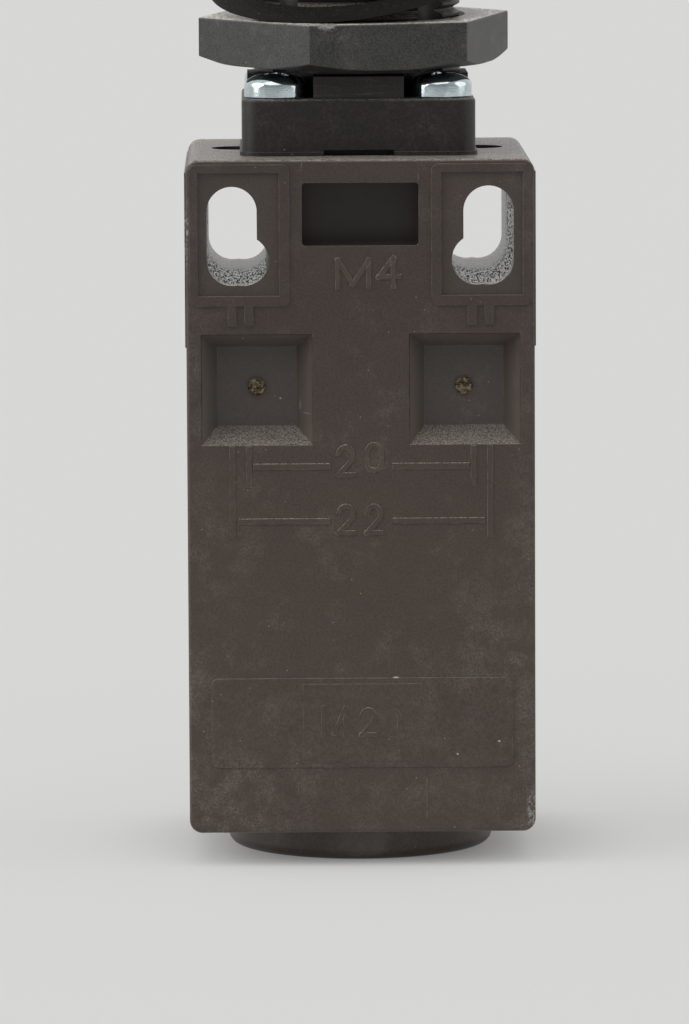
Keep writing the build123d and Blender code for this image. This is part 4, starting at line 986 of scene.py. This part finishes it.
lay_over(roller_tree, times(roller_tree, track_band, track_broken, on_tread), ROLLER_TRACK)
dress(roller_acetal, "roller")

# Roller pin: a hard steel dowel, ground bright and pressed through both arms of the
# plunger's fork.
pin_steel = metal("pin_steel", (0.62, 0.61, 0.60, 1), (0.48, 0.47, 0.45, 1), 0.16, 0.28)
dress(pin_steel, "roller_pin")

# Springs: four compression springs of round stainless wire, wound cold, with closed ends.
# The big one returns the plunger, one lifts the carrier and two press the bridges.
SPRING_COLOUR = (0.52, 0.50, 0.47, 1)
SPRING_STAIN = (0.34, 0.32, 0.29, 1)
WIRE_SIDES = 12
COIL_STEPS = 40


def compression_spring(low, high, wire, free_turns):
    """A coil that fills a box, with one closed turn at each end."""
    turns = free_turns + 2
    radius = (high.x - low.x - wire) / 2
    middle = (low + high) / 2
    floor_level, roof_level = low.z + wire / 2, high.z - wire / 2
    rings = []
    total = turns * COIL_STEPS
    for i in range(total + 1):
        done = i / COIL_STEPS
        angle = 2 * math.pi * done
        if done < 1:
            level = floor_level + wire * done
        elif done > turns - 1:
            level = roof_level - wire * (turns - done)
        else:
            level = floor_level + wire + (roof_level - floor_level - 2 * wire) * (done - 1) / (turns - 2)
        thin = min(1.0, 0.35 + done * 1.3, 0.35 + (turns - done) * 1.3)
        out = Vector((math.cos(angle), math.sin(angle), 0))
        centre = Vector((middle.x, middle.y, level)) + out * radius
        rings.append([
            centre + out * (wire / 2 * math.cos(t)) + Vector((0, 0, wire / 2 * thin * math.sin(t)))
            for t in [2 * math.pi * k / WIRE_SIDES for k in range(WIRE_SIDES)]
        ])
    return swept(rings)


spring_wire = metal("spring_wire", SPRING_COLOUR, SPRING_STAIN, 0.22, 0.38, patch=0.5 * mm)
# name, node, body, wire, free turns, joint that presses it, fixed end, share left
for spring_name, node, body, wire, free_turns, joint, fixed_end, kept in (
    ("return_coil", "return_spring", "switch_body", 0.7, 4, "plunger_slide", 61.2, 0.53),
    ("carrier_coil", "carrier_spring", "switch_body", 0.5, 5, "carrier_slide", 21.2, 0.41),
    ("no_contact_coil", "no_contact_spring", "no_bridge", 0.4, 3, "no_bridge_slide", 31.75, 0.43),
    ("nc_contact_coil", "nc_contact_spring", "contact_carrier", 0.4, 3, None, None, None),
):
    low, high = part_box(node)
    coil = piece(spring_name, compression_spring(low, high, wire * mm, free_turns), body, "spring_steel",
                 spring_wire, node, degrees=60)
    if joint:
        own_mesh(coil)

# Contact block: the moulded case of the changeover contacts, a base and a cover in black
# thermoset, held on two posts of the housing by two short screws.
BLOCK_COLOUR = (0.050, 0.050, 0.050, 1)
block_thermoset = moulded_plastic("block_thermoset", BLOCK_COLOUR, (0.12, 0.118, 0.115, 1), 0.10, 0.1,
                                  dull=0.5)
dress(block_thermoset, "contact_block_base", "contact_block_cover")
dress(zinc_steel, "contact_block_screws")

# Contact carrier: the red brown slide that the plunger pushes down, with a window
# for each bridge.
carrier_acetal = moulded_plastic("carrier_acetal", (0.62, 0.18, 0.10, 1), (0.66, 0.30, 0.21, 1), 0.10, 0.05,
                                 dull=0.40, uneven=0.06)
dress(carrier_acetal, "contact_carrier")

# Bridges and fixed terminals: stamped brass, with silver buttons riveted on where they
# touch, and tarnished a little by the arc and by fingers.
BRASS_COLOUR = (0.60, 0.42, 0.17, 1)
BRASS_TARNISH = (0.34, 0.22, 0.09, 1)
SILVER_COLOUR = (0.74, 0.73, 0.70, 1)
BUTTON_X = 6.1
BUTTON_RADIUS = 0.98
contact_brass = metal("contact_brass", BRASS_COLOUR, BRASS_TARNISH, 0.24, 0.42, patch=1.5 * mm)
brass_tree = contact_brass.node_tree
brass_at = add(brass_tree, "SeparateXYZ", {0: here(brass_tree)}).outputs
button_offset = reckon(brass_tree, "SUBTRACT", apart(brass_tree, brass_at["X"]), BUTTON_X * mm)
button_place = add(brass_tree, "CombineXYZ", {0: button_offset, 1: brass_at["Y"], 2: 0.0}).outputs[0]
button_far = length(brass_tree, button_place)
button_mask = between(brass_tree, button_far, (BUTTON_RADIUS + 0.1) * mm, BUTTON_RADIUS * mm)
lay_over(brass_tree, button_mask, SILVER_COLOUR)
dress(contact_brass, "nc_bridge", "no_bridge", "nc_terminal_left", "nc_terminal_right", "no_terminal_left",
      "no_terminal_right")

# Terminal screws and their wire clamps: plated steel, four of each, left open for the
# fitter to clamp the cord's cores.
clamp_steel = metal("clamp_steel", (0.58, 0.58, 0.56, 1), (0.42, 0.41, 0.38, 1), 0.26, 0.42)
dress(clamp_steel, "wire_clamps")
dress(zinc_steel, "terminal_screws")
